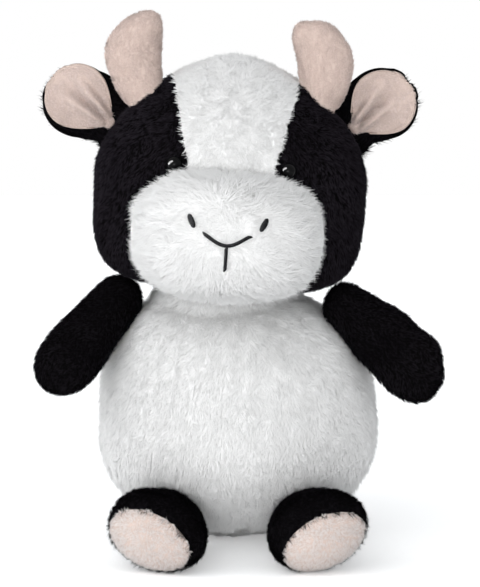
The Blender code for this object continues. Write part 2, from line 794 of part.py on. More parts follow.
def build_embroidery():
    """Nostrils, mouth line and the short line below it."""
    pieces = []
    for side, sign in SIDES.items():
        place = egg(
            NOSTRIL_HALF_WIDTH, NOSTRIL_LIFT, NOSTRIL_LIFT, NOSTRIL_HALF_HEIGHT,
            NOSTRIL_HALF_HEIGHT, ROUND, ROUND, ROUND,
        )
        middle = on_muzzle(sign * NOSTRIL_OUT, NOSTRIL_UP, 0)
        lean = Matrix.Rotation(sign * NOSTRIL_LEAN, 4, "Y")
        slant = Matrix.Rotation(sign * NOSTRIL_OUT / MUZZLE_HALF_WIDTH, 4, "Z")
        at = muzzle_frame() @ Matrix.Translation(middle) @ slant @ lean
        patch = soft_form(f"{side}_nostril_stitch", place, SMALL_SIDES, SMALL_ROWS, 0.0, at)
        pieces.append(finish(cut(patch, muzzle_form("skin", GAP)), THREAD))
    lift = THREAD_RADIUS + GAP
    smile = []
    for k in range(MOUTH_STEPS + 1):
        share = 2 * k / MOUTH_STEPS - 1
        sag = (MOUTH_DIP + MOUTH_END) * math.cos(share * math.pi / 2) ** MOUTH_POINT
        smile.append(on_muzzle(share * MOUTH_HALF_WIDTH, MOUTH_END - sag, lift))
    pieces.append(stitch("mouth_stitch", smile))
    start = MOUTH_DIP + 2 * THREAD_RADIUS + LIP_GAP
    step = LIP_LENGTH / LIP_STEPS
    drop = [on_muzzle(0, -start - step * k, lift) for k in range(LIP_STEPS + 1)]
    pieces.append(stitch("lip_stitch", drop))
    return pieces


def horn_frame(side):
    """Frame in a horn's root, with +X outwards."""
    sign = SIDES[side]
    origin = Vector((sign * HORN_OUTS[side], -HORN_FRONT, HORN_UP))
    lean = HORN_LEANS[side]
    direction = Vector((sign * math.sin(lean), 0, math.cos(lean)))
    return head_frame() @ aim(origin, direction, Vector((sign, 0, 0)))


def build_horns():
    """Horn covers and their fill, sewn into the crown."""
    pieces = []
    place = limb(HORN_ROOT, HORN_HALF_WIDTH, HORN_HALF_DEPTH, HORN_LENGTH, HORN_CAP, HORN_BOW)
    for side in SIDES:
        at = horn_frame(side)
        cover = cut(
            limb_form(f"{side}_horn_cover", place, 0.0, at),
            limb_form("inner", place, -VELOUR, at), head_form("crown", GAP),
        )
        fill = cut(
            limb_form(f"{side}_horn_fill", place, -VELOUR - GAP, at),
            head_form("crown", GAP),
        )
        pieces += [finish(cover, PALE), finish(fill, FILL)]
    return pieces


def ear_root(side):
    """Centre of an ear's gathered root, in the head's frame."""
    return Vector((SIDES[side] * EAR_OUT, EAR_BACK, EAR_UPS[side]))


def ear_frame(side):
    """Frame in an ear's root, with +Z to its tip and -Y to the front of its cup."""
    sign = SIDES[side]
    rise = EAR_RISES[side]
    direction = Vector((
        sign * math.cos(rise) * math.cos(EAR_FORWARDS[side]),
        -math.sin(EAR_FORWARDS[side]),
        math.sin(rise),
    ))
    hint = Vector((math.sin(rise), 0, -sign * math.cos(rise)))
    return head_frame() @ aim(ear_root(side), direction, hint)


def ear_socket(name, side):
    """Cutter for the slot in the head that holds an ear's flat root."""
    slot = socket_ball(name, Vector(), EAR_ROOT)
    flat_share = (EAR_ROOT_HALF_WALL + GAP) / (EAR_ROOT + GAP)
    slot.data.transform(ear_frame(side) @ Matrix.Diagonal((1, flat_share, 1, 1)))
    return slot


def arm_reach(side):
    """The step from a shoulder's centre to the middle of the paw."""
    out = SIDES[side] * ARM_TIP_OUTS[side]
    return Vector((out, -ARM_TIP_FRONTS[side], ARM_TIP_UPS[side])) - shoulder(side)


def arm_frame(side):
    """Frame in a shoulder, with +Z to the paw and +X outwards, rolled about the arm."""
    roll = Matrix.Rotation(ARM_ROLLS[side], 4, "Z")
    return aim(shoulder(side), arm_reach(side), Vector((SIDES[side], 0, 1))) @ roll


def opening(name, root, at):
    """Cutter for the opening at -Z through which a limb's fill meets the torso's."""
    return rod(name, root * OPENING_SHARE, -root - OVERRUN, -root / 2, at)


def build_arm(side):
    """One arm: a cover with an opening at its root, and its fill."""
    at = arm_frame(side)
    length = arm_reach(side).length + ARM_CAP
    place = limb(ARM_ROOT, ARM_HALF_WIDTH, ARM_HALF_THICKNESS, length, ARM_CAP, ARM_BOW)
    inwards = aim(shoulder(side), Vector((SIDES[side], 0, 0)), Vector((0, 0, 1)))
    cover = cut(
        limb_form(f"{side}_arm_cover", place, 0.0, at),
        limb_form("inner", place, -BLACK_PILE, at),
        opening("opening", ARM_ROOT, inwards),
    )
    fill = limb_form(f"{side}_arm_fill", place, -BLACK_PILE - GAP, at)
    return [finish(cover, BLACK), finish(fill, FILL)]


def foot_reach():
    """How far a rolled foot reaches down from its middle."""
    return math.hypot(
        FOOT_HALF_WIDTH * math.sin(LEG_ROLL), FOOT_HALF_HEIGHT * math.cos(LEG_ROLL)
    )


def leg_frame(side):
    """Frame in a hip, with +Z to the sole, and rolled so that the outer edge is higher."""
    sign = SIDES[side]
    fall = (LEG_UP - foot_reach() + FLOOR_CUT) / (LEG_LENGTH - FOOT_CAP)
    direction = Vector((sign * math.sin(LEG_SPLAY), -math.cos(LEG_SPLAY), -fall))
    hint = Vector((math.cos(LEG_ROLL), 0, sign * math.sin(LEG_ROLL)))
    return aim(hip(side), direction, hint)


def sole_room(name, side, gap, ahead):
    """The room before or behind the seam of a sole pad."""
    reach = FOOT_HALF_WIDTH + OVERRUN
    sign = SIDES[side]
    level = Matrix.Rotation(-sign * LEG_ROLL, 4, "Z")
    down = Matrix.Rotation(SOLE_TILTS[side], 4, "X")
    out = Matrix.Rotation(sign * SOLE_TURN, 4, "Y")
    seam = Matrix.Translation((0, 0, LEG_LENGTH - SOLE_DEPTH))
    at = leg_frame(side) @ seam @ level @ down @ out
    if ahead:
        return block(name, (-reach, -reach, gap), (reach, reach, reach), at)
    return block(name, (-reach, -reach, -2 * reach), (reach, reach, -gap), at)


def build_leg(side):
    """One leg: cover, sole pad and fill, flat where the foot rests."""
    at = leg_frame(side)
    place = limb(LEG_ROOT, FOOT_HALF_WIDTH, FOOT_HALF_HEIGHT, LEG_LENGTH, FOOT_CAP)
    shell = cut(
        limb_form("shell", place, 0.0, at),
        limb_form("inner", place, -BLACK_PILE, at),
        opening("opening", LEG_ROOT, at), floor_block("floor"),
    )
    pad = keep(copy_of(shell, f"{side}_sole_pad"), sole_room("ahead", side, SEAM_GAP / 2, True))
    cover = keep(shell, sole_room("behind", side, SEAM_GAP / 2, False))
    cover.name = f"{side}_leg_cover"
    fill = limb_form(f"{side}_leg_fill", place, -BLACK_PILE - GAP, at)
    return [finish(cover, BLACK), finish(pad, PALE), finish(fill, FILL)]


def build_ear(side):
    """One ear: black outer layer with a gathered root, and the pale lining in its cup."""
    at = ear_frame(side)
    outer = limb(
        EAR_ROOT, EAR_HALF_WIDTH, EAR_HALF_WALL, EAR_LENGTH, EAR_CAP, 0.0, EAR_CUP,
        EAR_ROOT_HALF_WALL,
    )
    lining_width = EAR_HALF_WIDTH - LINING_MARGIN
    lining_cup = EAR_CUP * (lining_width / EAR_HALF_WIDTH) ** 2
    lining = limb(
        LINING_ROOT, lining_width, LINING_HALF_WALL,
        EAR_LENGTH - LINING_START - LINING_MARGIN, EAR_CAP - LINING_MARGIN, 0.0, lining_cup,
        LINING_HALF_WALL, LINING_START,
    )
    shell = limb_form(f"{side}_ear_outer", outer, 0.0, at)
    lift = EAR_HALF_WALL + GAP + LINING_HALF_WALL + LINING_ROOT_LIFT
    ahead = Matrix.Translation((0, -lift, LINING_START))
    tilt = Matrix.Rotation(-LINING_TILT, 4, "X")
    sheet = limb_form(f"{side}_ear_lining", lining, 0.0, at @ ahead @ tilt)
    sheet = cut(sheet, limb_form("outer", outer, GAP, at))
    return [finish(shell, BLACK), finish(sheet, PALE)]


def tail_frame():
    """Frame in the tail's root, with +Z to its end."""
    direction = Vector((0, math.cos(TAIL_DROP), -math.sin(TAIL_DROP)))
    return aim(tail_root(), direction, Vector((1, 0, 0)))


def build_tail():
    """The tail's tube and the tuft at its end."""
    at = tail_frame()
    tube = limb(TAIL_ROOT, TAIL_HALF_WIDTH, TAIL_HALF_WIDTH, TAIL_LENGTH, TAIL_CAP)
    tail = limb_form("tail_cover", tube, 0.0, at)
    brush = limb(TUFT_ROOT, TUFT_HALF_WIDTH, TUFT_HALF_WIDTH, TUFT_LENGTH, TUFT_CAP)
    ahead = Matrix.Translation((0, 0, TAIL_LENGTH + GAP + TUFT_ROOT))
    tuft = limb_form("tail_tuft", brush, 0.0, at @ ahead)
    return [finish(tail, WHITE), finish(tuft, BLACK)]


def build_label():
    """A blank label that hangs from the base seam, just off the back panel."""
    back = torso_back(LABEL_OUT, BASE_SEAM_HEIGHT).y
    low = (LABEL_OUT - LABEL_WIDTH / 2, back, BASE_SEAM_HEIGHT - LABEL_WALL / 2)
    high = (LABEL_OUT + LABEL_WIDTH / 2, back + LABEL_LENGTH, BASE_SEAM_HEIGHT + LABEL_WALL / 2)
    label = cut(block("care_label", low, high), torso_egg("torso", GAP))
    return [finish(label, TAPE)]


def joint_empty(name, matrix):
    """An empty on a joint, which carries its body's pieces."""
    empty = bpy.data.objects.new(name, None)
    empty.matrix_world = matrix
    bpy.context.scene.collection.objects.link(empty)
    return empty


def hand_over(pieces, empty):
    """Parent pieces to an empty and measure their meshes from it."""
    bpy.context.view_layer.update()
    for piece in pieces:
        piece.data.transform(empty.matrix_world.inverted())
        piece.parent = empty


def build():
    """Build the whole toy, body by body."""
    clear_scene()
    seat = joint_empty("seat", Matrix())
    hand_over(build_torso() + build_label(), seat)
    neck = joint_empty("neck_joint", Matrix.Translation(NECK))
    hand_over(build_neck(), neck)
    head = joint_empty("head_joint", Matrix.Translation(NECK) @ Matrix.Rotation(HEAD_ROLL, 4, "Y"))
    hand_over(
        build_head() + build_muzzle() + build_eyes() + build_embroidery() + build_horns(), head
    )
    for side in SIDES:
        hand_over(build_ear(side), joint_empty(f"{side}_ear_joint", ear_frame(side)))
        hand_over(build_arm(side), joint_empty(f"{side}_arm_joint", arm_frame(side)))
        hand_over(build_leg(side), joint_empty(f"{side}_leg_joint", leg_frame(side)))
    hand_over(build_tail(), joint_empty("tail_joint", tail_frame()))


build()
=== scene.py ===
"""The seated plush cow as it leaves the maker: pile, cloth, stuffing and trim on the frame.

Metres, in the frame's own place: +Z up, the toy faces -Y, and left means the -X side. Each
cover is cut from the form that its node has, drawn in by the depth of its pile, so that the
tips of the pile come out where the node's surface is.
"""

import json
import logging
import math
from dataclasses import dataclass, replace
from enum import Enum
from functools import partial
from typing import Callable, Optional, Sequence

import bmesh
import bpy
import numpy as np
from mathutils import Matrix, Vector, kdtree

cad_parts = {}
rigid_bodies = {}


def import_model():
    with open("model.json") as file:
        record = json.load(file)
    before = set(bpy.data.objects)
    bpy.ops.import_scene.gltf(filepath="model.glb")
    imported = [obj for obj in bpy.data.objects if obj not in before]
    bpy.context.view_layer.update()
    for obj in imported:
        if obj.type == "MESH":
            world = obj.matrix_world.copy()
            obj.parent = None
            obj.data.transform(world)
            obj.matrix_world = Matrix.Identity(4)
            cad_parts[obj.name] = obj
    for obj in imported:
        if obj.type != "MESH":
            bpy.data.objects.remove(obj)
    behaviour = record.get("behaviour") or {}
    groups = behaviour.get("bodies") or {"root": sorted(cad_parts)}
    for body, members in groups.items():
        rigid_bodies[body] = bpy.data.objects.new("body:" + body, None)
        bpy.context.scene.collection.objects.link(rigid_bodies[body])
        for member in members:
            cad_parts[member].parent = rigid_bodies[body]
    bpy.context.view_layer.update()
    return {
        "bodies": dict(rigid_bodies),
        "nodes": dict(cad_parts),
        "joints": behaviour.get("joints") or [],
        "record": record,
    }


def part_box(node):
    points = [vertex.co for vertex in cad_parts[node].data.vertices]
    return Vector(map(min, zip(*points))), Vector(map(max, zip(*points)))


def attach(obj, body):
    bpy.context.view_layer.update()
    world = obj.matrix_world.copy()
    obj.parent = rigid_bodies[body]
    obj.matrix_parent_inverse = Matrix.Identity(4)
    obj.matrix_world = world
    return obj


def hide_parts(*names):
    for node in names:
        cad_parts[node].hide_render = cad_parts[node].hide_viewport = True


MM = 0.001
FLOOR_FILM = 0.35 * MM
PILE_MAP = "Pile"
BAKE_MAP = "OFBake"
UP = Vector((0, 0, 1))

Object = bpy.types.Object
BMesh = bmesh.types.BMesh
Node = bpy.types.Node
Socket = bpy.types.NodeSocket
Points = np.ndarray
Rng = np.random.Generator
Colour = tuple[float, float, float]
Bend = Callable[[Vector], Vector]
Crop = Callable[[Points], Points]

log = logging.getLogger("plush_cow")


class Side(Enum):
    """The two sides of the toy, as the sign of X."""

    LEFT = -1
    RIGHT = 1

    @property
    def label(self) -> str:
        """The side's name, as the nodes spell it."""
        return self.name.lower()

    def mirror(self, point: Vector) -> Vector:
        """A place or way of the right side, on this side."""
        return Vector((self.value * point.x, point.y, point.z))


class Backing(Enum):
    """The two ways in which the flat cloths are made, as the scale of their threads."""

    KNITTED = 260.0
    WOVEN = 420.0


class Fabric(Enum):
    """The three covers, as the record's slots spell them."""

    WHITE = "white_plush"
    BLACK = "black_plush"
    PALE = "pale_velour"


# ---------------------------------------------------------------- forms


def power(value: float, exponent: float) -> float:
    """A power that keeps the sign."""
    return math.copysign(abs(value) ** exponent, value)


@dataclass(frozen=True)
class Egg:
    """A swelling body about its widest level."""

    half_width: float
    front: float
    back: float
    up: float
    down: float
    top_squareness: float = 2.0
    low_squareness: float = 2.0
    plan_squareness: float = 2.0

    def point(self, share: float, turn: float) -> Vector:
        """A point of the surface.

        Args:
            share: From 0 at the top to 1 at the bottom.
            turn: Angle round the upright axis.

        Returns:
            The point in the form's own frame.
        """
        level = math.cos(share * math.pi)
        above = level > 0
        rise = self.up if above else self.down
        squareness = self.top_squareness if above else self.low_squareness
        reach = abs(math.sin(share * math.pi)) ** (2 / squareness)
        depth = self.back if math.sin(turn) > 0 else self.front
        return Vector((
            self.half_width * reach * power(math.cos(turn), 2 / self.plan_squareness),
            depth * reach * power(math.sin(turn), 2 / self.plan_squareness),
            rise * power(level, 2 / squareness),
        ))

    def fullness(self, points: Points) -> Points:
        """How far out points are: 1 on the surface, less inside it.

        Args:
            points: Points in the form's own frame.

        Returns:
            One number for each point.
        """
        plan = self.plan_squareness
        depth = np.where(points[:, 1] > 0, self.back, self.front)
        wide = np.abs(points[:, 0] / self.half_width) ** plan
        rho = (wide + np.abs(points[:, 1] / depth) ** plan) ** (1 / plan)
        above = points[:, 2] > 0
        square = np.where(above, self.top_squareness, self.low_squareness)
        level = np.abs(points[:, 2]) / np.where(above, self.up, self.down)
        return (level ** square + rho ** square) ** (1 / square)

    def front_point(self, across: float, up: float, lift: float = 0.0) -> Vector:
        """A point on the front.

        Args:
            across: Distance from the middle.
            up: Height above the widest level.
            lift: Distance off the surface, towards the front.

        Returns:
            The point in the form's own frame.
        """
        square, plan = self.top_squareness, self.plan_squareness
        reach = (1 - abs(up / self.up) ** square) ** (1 / square)
        wide = abs(across / self.half_width) ** plan
        deep = (reach ** plan - wide) ** (1 / plan)
        return Vector((across, -self.front * deep - lift, up))

    def grown(self, by: float) -> "Egg":
        """The same egg with so much added to each half measure."""
        return replace(
            self, half_width=self.half_width + by, front=self.front + by,
            back=self.back + by, up=self.up + by, down=self.down + by,
        )


@dataclass(frozen=True)
class Limb:
    """A stuffed limb along +Z: a ball root, a pinched waist, a swell and a tip."""

    root: float
    half_width: float
    half_thickness: float
    length: float
    cap: float
    bow: float = 0.0
    cup: float = 0.0
    root_wall: Optional[float] = None
    cup_start: float = 0.0
    waist: float = math.radians(24)

    def point(self, share: float, turn: float) -> Vector:
        """A point of the surface.

        Args:
            share: From 0 at the tip to 1 at the bottom of the root.
            turn: Angle round the limb.

        Returns:
            The point in the limb's own frame.
        """
        stage = share * 3
        widest = self.length - self.cap
        waist_up = self.root * math.sin(self.waist)
        waist_radius = self.root * math.cos(self.waist)
        root_wall = self.root_wall or self.root
        waist_wall = root_wall * math.cos(self.waist)
        if stage <= 1:
            angle = stage * math.pi / 2
            along = widest + self.cap * math.cos(angle)
            wide = self.half_width * math.sin(angle)
            thick = self.half_thickness * math.sin(angle)
        elif stage <= 2:
            swell = 2 - stage
            ease = math.sin(swell * math.pi / 2)
            along = waist_up + (widest - waist_up) * swell
            wide = waist_radius + (self.half_width - waist_radius) * ease
            thick = waist_wall + (self.half_thickness - waist_wall) * ease
        else:
            angle = (stage - 2) * (math.pi / 2 + self.waist) - self.waist
            along = -self.root * math.sin(angle)
            wide = self.root * math.cos(angle)
            thick = root_wall * math.cos(angle)
        arch = self.bow * math.sin(math.pi * max(0.0, along) / self.length)
        across = wide * math.cos(turn)
        started = max(0.0, along + self.cup_start) / (widest + self.cup_start)
        dish = self.cup * min(1.0, started) * (across / self.half_width) ** 2
        return Vector((across + arch, thick * math.sin(turn) - dish, along))


@dataclass(frozen=True)
class Solid:
    """A round or egg-shaped body in its place, which others keep clear of."""

    frame: Matrix
    egg: Egg

    def fullness(self, points: Points) -> Points:
        """How far out points of the row frame are: 1 on the surface.

        Args:
            points: Points in the row frame.

        Returns:
            One number for each point.
        """
        inverse = np.array(self.frame.inverted())
        return self.egg.fullness(points @ inverse[:3, :3].T + inverse[:3, 3])

    def push_out(self, bm: BMesh) -> None:
        """Move the points of a mesh that are inside out to the surface.

        Args:
            bm: The mesh, in the row frame.
        """
        centre = self.frame.translation
        for vert, full in zip(bm.verts, self.fullness(points_of(bm))):
            if 1e-6 < full < 1:
                vert.co = centre + (vert.co - centre) / full

    def grown(self, by: float) -> "Solid":
        """The same body with so much added to each half measure."""
        return Solid(self.frame, self.egg.grown(by))


def points_of(bm: BMesh) -> Points:
    """The places of a mesh's points."""
    return np.array([vert.co[:] for vert in bm.verts])


def keep_clear(bm: BMesh, solids: Sequence[Solid]) -> None:
    """Move a mesh out of several bodies, one after the other."""
    for solid in solids:
        solid.push_out(bm)


def ball(centre: Vector, radius: float) -> Solid:
    """A round body of one radius about a centre."""
    return Solid(Matrix.Translation(centre), Egg(radius, radius, radius, radius, radius))


def aim(origin: Vector, direction: Vector, side_hint: Vector) -> Matrix:
    """A frame with +Z along direction and +X as near side_hint as it can be.

    Args:
        origin: The frame's place.
        direction: Where its +Z points.
        side_hint: Where its +X roughly points.

    Returns:
        The frame.
    """
    up = direction.normalized()
    thick = up.cross(side_hint).normalized()
    wide = thick.cross(up)
    return Matrix.Translation(origin) @ Matrix((wide, thick, up)).transposed().to_4x4()


def waves(points: Points, size: float, rng: Rng) -> Points:
    """Smooth random vectors over space, about 1 long.

    Args:
        points: Where they are wanted.
        size: Distance over which they change.
        rng: The seeded source of chance.

    Returns:
        One vector for each point.
    """
    total = np.zeros_like(points)
    count = 8
    for _ in range(count):
        course = rng.normal(size=3)
        course *= math.tau / size / np.linalg.norm(course)
        phase = np.sin(points @ course + rng.uniform(0, math.tau))
        total += phase[:, None] * rng.normal(size=3)
    return total / math.sqrt(count)


def seeded(name: str) -> Rng:
    """A source of chance that a piece's name always starts the same way."""
    return np.random.default_rng(list(name.encode()))


def form_surface(
    form: Egg | Limb, frame: Matrix, sides: int, rows: int, inset: float,
    bend: Optional[Bend] = None,
) -> BMesh:
    """The surface of a form, drawn in by the depth of its pile.

    Args:
        form: The form.
        frame: Its place in the row frame.
        sides: Faces round it.
        rows: Faces from its top to its bottom.
        inset: How far the surface is drawn in.
        bend: A change to each point before the place is applied, if any.

    Returns:
        The mesh in the row frame.
    """
    bm = bmesh.new()
    bmesh.ops.create_uvsphere(bm, u_segments=sides, v_segments=rows, radius=1)
    for vert in bm.verts:
        share = math.acos(max(-1.0, min(1.0, vert.co.z))) / math.pi
        vert.co = form.point(share, math.atan2(vert.co.y, vert.co.x))
    bm.normal_update()
    moves = [(vert, vert.normal * inset) for vert in bm.verts]
    for vert, move in moves:
        vert.co -= move
        if bend:
            vert.co = bend(vert.co)
    bm.transform(frame)
    return bm


def lump(bm: BMesh, depth: float, size: float, name: str) -> None:
    """Give a stuffed form the soft unevenness of its filling.

    Args:
        bm: The mesh, in the row frame.
        depth: How far the surface strays.
        size: Distance from lump to lump.
        name: The piece's name, which seeds the chance.
    """
    bm.normal_update()
    strays = waves(points_of(bm), size, seeded(name))[:, 0] * depth
    for vert, stray in zip(bm.verts, strays):
        vert.co += vert.normal * float(stray)


def part_at(bm: BMesh, point: Vector, normal: Vector) -> None:
    """Cut a mesh by a plane and keep what lies behind it.

    Args:
        bm: The mesh.
        point: A point of the plane.
        normal: The plane's normal, towards the side that goes.
    """
    bmesh.ops.bisect_plane(
        bm, geom=bm.verts[:] + bm.edges[:] + bm.faces[:], dist=1e-7,
        plane_co=point, plane_no=normal, clear_outer=True,
    )


def trim_inside(bm: BMesh, solid: Solid, keep_share: float) -> None:
    """Take away the part of a surface that lies deep inside another body.

    Args:
        bm: The mesh, in the row frame.
        solid: The body.
        keep_share: Fullness under which faces go.
    """
    fullness = solid.fullness(points_of(bm))
    gone = [vert for vert, full in zip(bm.verts, fullness) if full < keep_share]
    bmesh.ops.delete(bm, geom=gone, context="VERTS")


def rest_on_floor(bm: BMesh, height: float = FLOOR_FILM) -> None:
    """Flatten what would reach below the floor."""
    for vert in bm.verts:
        vert.co.z = max(vert.co.z, height)


def make_object(name: str, bm: BMesh) -> Object:
    """Turn a mesh into an object of the scene, shaded smooth.

    Args:
        name: The object's name.
        bm: The mesh, which is freed.

    Returns:
        The object.
    """
    mesh = bpy.data.meshes.new(name)
    bm.to_mesh(mesh)
    bm.free()
    mesh.shade_smooth()
    obj = bpy.data.objects.new(name, mesh)
    bpy.context.scene.collection.objects.link(obj)
    return obj


# ---------------------------------------------------------------- finishes


class NodeSheet:
    """A small helper that lays out the nodes of a material or a node group."""

    def __init__(self, tree: bpy.types.NodeTree) -> None:
        """Work on one node tree."""
        self.tree = tree

    def feed(self, socket: Socket, value: object) -> None:
        """Join an input to another socket, or set its value.

        Args:
            socket: The input.
            value: A socket, a number, a vector or a colour.
        """
        if isinstance(value, Socket):
            self.tree.links.new(value, socket)
        elif socket.type == "RGBA":
            socket.default_value = (*value, 1.0)
        else:
            socket.default_value = value

    def add(self, kind: str, settings: Optional[dict] = None, **sockets: object) -> Node:
        """Add a node and set or join its inputs.

        Args:
            kind: The node's type.
            settings: Properties of the node.
            sockets: Values or sockets for its inputs, spaces written as underscores.

        Returns:
            The node.
        """
        node = self.tree.nodes.new(kind)
        for key, value in (settings or {}).items():
            setattr(node, key, value)
        for key, value in sockets.items():
            name = key.replace("_", " ")
            self.feed(next(s for s in node.inputs if s.name == name and s.enabled), value)
        return node

    def maths(self, operation: str, first: object, second: object = 0.0) -> Socket:
        """Join two values by a sum.

        Args:
            operation: The Math node's operation.
            first: A value or a socket.
            second: A value or a socket.

        Returns:
            The result's socket.
        """
        node = self.add("ShaderNodeMath", {"operation": operation})
        self.feed(node.inputs[0], first)
        self.feed(node.inputs[1], second)
        return node.outputs[0]

    def mix(self, factor: Socket, low: object, high: object) -> Socket:
        """Blend two colours.

        Args:
            factor: Share of the second colour.
            low: The first colour or its socket.
            high: The second colour or its socket.

        Returns:
            The colour's socket.
        """
        node = self.add("ShaderNodeMix", {"data_type": "RGBA"})
        for index, value in ((0, factor), (6, low), (7, high)):
            self.feed(node.inputs[index], value)
        return node.outputs[2]

    def spread(
        self, value: Socket, low: float, high: float, start: float = 0.0, end: float = 1.0
    ) -> Socket:
        """Map a value from one span to another.

        Args:
            value: The value, from start to end.
            low: The result at the start.
            high: The result at the end.
            start: Where the value's span starts.
            end: Where it ends.

        Returns:
            The result's socket.
        """
        span = self.add(
            "ShaderNodeMapRange", Value=value, From_Min=start, From_Max=end, To_Min=low,
            To_Max=high,
        )
        return span.outputs[0]

    def relief(self, height: Socket, strength: float, distance: float) -> Socket:
        """Raise fine relief from a value.

        Args:
            height: The value.
            strength: How much of it shows.
            distance: Its depth in metres.

        Returns:
            The normal's socket.
        """
        bump = self.add("ShaderNodeBump", Strength=strength, Distance=distance, Height=height)
        return bump.outputs[0]

    def place(self) -> Socket:
        """Each point's place on its piece."""
        return self.add("ShaderNodeTexCoord").outputs["Object"]

    def noise(self, place: Socket, scale: object, detail: float, warp: float = 0.0) -> Socket:
        """Noise over a piece.

        Args:
            place: Each point's place.
            scale: Its scale.
            detail: Its detail.
            warp: How far it is distorted.

        Returns:
            The value's socket.
        """
        kind = "ShaderNodeTexNoise"
        node = self.add(kind, Vector=place, Scale=scale, Detail=detail, Distortion=warp)
        return node.outputs[0]

    def bands(
        self, place: Socket, way: str, scale: object, detail: float, warp: float
    ) -> Socket:
        """Bands across a piece.

        Args:
            place: Each point's place.
            way: X, Z or DIAGONAL.
            scale: Their scale.
            detail: Their detail.
            warp: How far they are distorted.

        Returns:
            The value's socket.
        """
        node = self.add(
            "ShaderNodeTexWave", {"wave_type": "BANDS", "bands_direction": way}, Vector=place,
            Scale=scale, Distortion=warp, Detail=detail,
        )
        return node.outputs["Fac"]

    def patches(self, scale: float) -> Socket:
        """The shared soft patches, at a scale of this material's own."""
        return self.add("ShaderNodeGroup", {"node_tree": PATCHES.tree()}, Scale=scale).outputs[0]

    def backdrop_share(self) -> Socket:
        """1 for the rays that see the backdrop as white, and 0 for those that light the toy."""
        rays = self.add("ShaderNodeLightPath").outputs
        share = rays["Is Camera Ray"]
        for ray in ("Is Glossy Ray", "Is Transmission Ray"):
            share = self.maths("MAXIMUM", share, rays[ray])
        return share

    def shade(self, **sockets: object) -> None:
        """Set or join the main shader's inputs.

        Args:
            sockets: Values or sockets for its inputs, spaces written as underscores.
        """
        for key, value in sockets.items():
            shader = self.tree.nodes["Principled BSDF"]
            self.feed(shader.inputs[key.replace("_", " ")], value)


@dataclass(frozen=True)
class SharedGroup:
    """A node group that is laid out once and placed in every material that needs it."""

    name: str
    given: tuple[str, float]
    results: Sequence[str]
    lay_out: Callable[[NodeSheet, Socket], dict[str, Socket]]

    def tree(self) -> bpy.types.NodeTree:
        """The group, laid out at its first use."""
        if found := bpy.data.node_groups.get(self.name):
            return found
        group = bpy.data.node_groups.new(self.name, "ShaderNodeTree")
        label, value = self.given
        kind = "NodeSocketFloat"
        group.interface.new_socket(label, in_out="INPUT", socket_type=kind).default_value = value
        for result in self.results:
            group.interface.new_socket(result, in_out="OUTPUT", socket_type=kind)
        source = group.nodes.new("NodeGroupInput")
        sink = group.nodes.new("NodeGroupOutput")
        for result, socket in self.lay_out(NodeSheet(group), source.outputs[label]).items():
            group.links.new(socket, sink.inputs[result])
        return group


def lay_patches(sheet: NodeSheet, scale: Socket) -> dict[str, Socket]:
    """Soft patches: handling marks in cloth, and where the pile takes painted shade: two sizes
    of noise, summed.

    Args:
        sheet: The group's nodes.
        scale: The wider noise's scale.

    Returns:
        The result by name.
    """
    place = sheet.place()
    wide = sheet.noise(place, scale, 2.0)
    fine = sheet.noise(place, sheet.maths("MULTIPLY", scale, 6.0), 3.0)
    both = sheet.maths("ADD", wide, sheet.maths("MULTIPLY", fine, 0.5))
    return {"Patches": sheet.maths("MULTIPLY", both, 0.667)}


def lay_tuft_reading(sheet: NodeSheet, root_depth: Socket) -> dict[str, Socket]:
    """Each tuft's own tone and the height along it, from the pile's map.

    Args:
        sheet: The group's nodes.
        root_depth: How far up the root's painted shade reaches, as a power of the height.

    Returns:
        The results by name.
    """
    spot = sheet.add("ShaderNodeUVMap", {"uv_map": PILE_MAP}).outputs["UV"]
    split = sheet.add("ShaderNodeSeparateXYZ", Vector=spot).outputs
    return {"Tone": split["X"], "Height": sheet.maths("POWER", split["Y"], root_depth)}


def lay_threads(sheet: NodeSheet, threads: Socket) -> dict[str, Socket]:
    """The relief of a knitted or woven ground: bands one way across bands the other way.

    Args:
        sheet: The group's nodes.
        threads: The bands' scale.

    Returns:
        The result by name.
    """
    place = sheet.place()
    across, up = (sheet.bands(place, way, threads, 1.0, 1.2) for way in ("X", "Z"))
    return {"Relief": sheet.maths("MULTIPLY", across, up)}


PATCHES = SharedGroup("soft_patches", ("Scale", 40.0), ("Patches",), lay_patches)
TUFTS = SharedGroup("tuft_reading", ("Root Depth", 1.0), ("Tone", "Height"), lay_tuft_reading)
THREADS = SharedGroup("thread_relief", ("Threads", 300.0), ("Relief",), lay_threads)


@dataclass(frozen=True)
class Finish:
    """A finish, whose material is made at its first use."""

    name: str

    def material(self) -> bpy.types.Material:
        """Make the material, or hand out the one already made."""
        if found := bpy.data.materials.get(self.name):
            return found
        material = bpy.data.materials.new(self.name)
        material.use_nodes = True
        self.lay_out(NodeSheet(material.node_tree))
        return material

    def lay_out(self, sheet: NodeSheet) -> None:
        """Lay out the material's nodes, in each finish's own way."""
        raise NotImplementedError


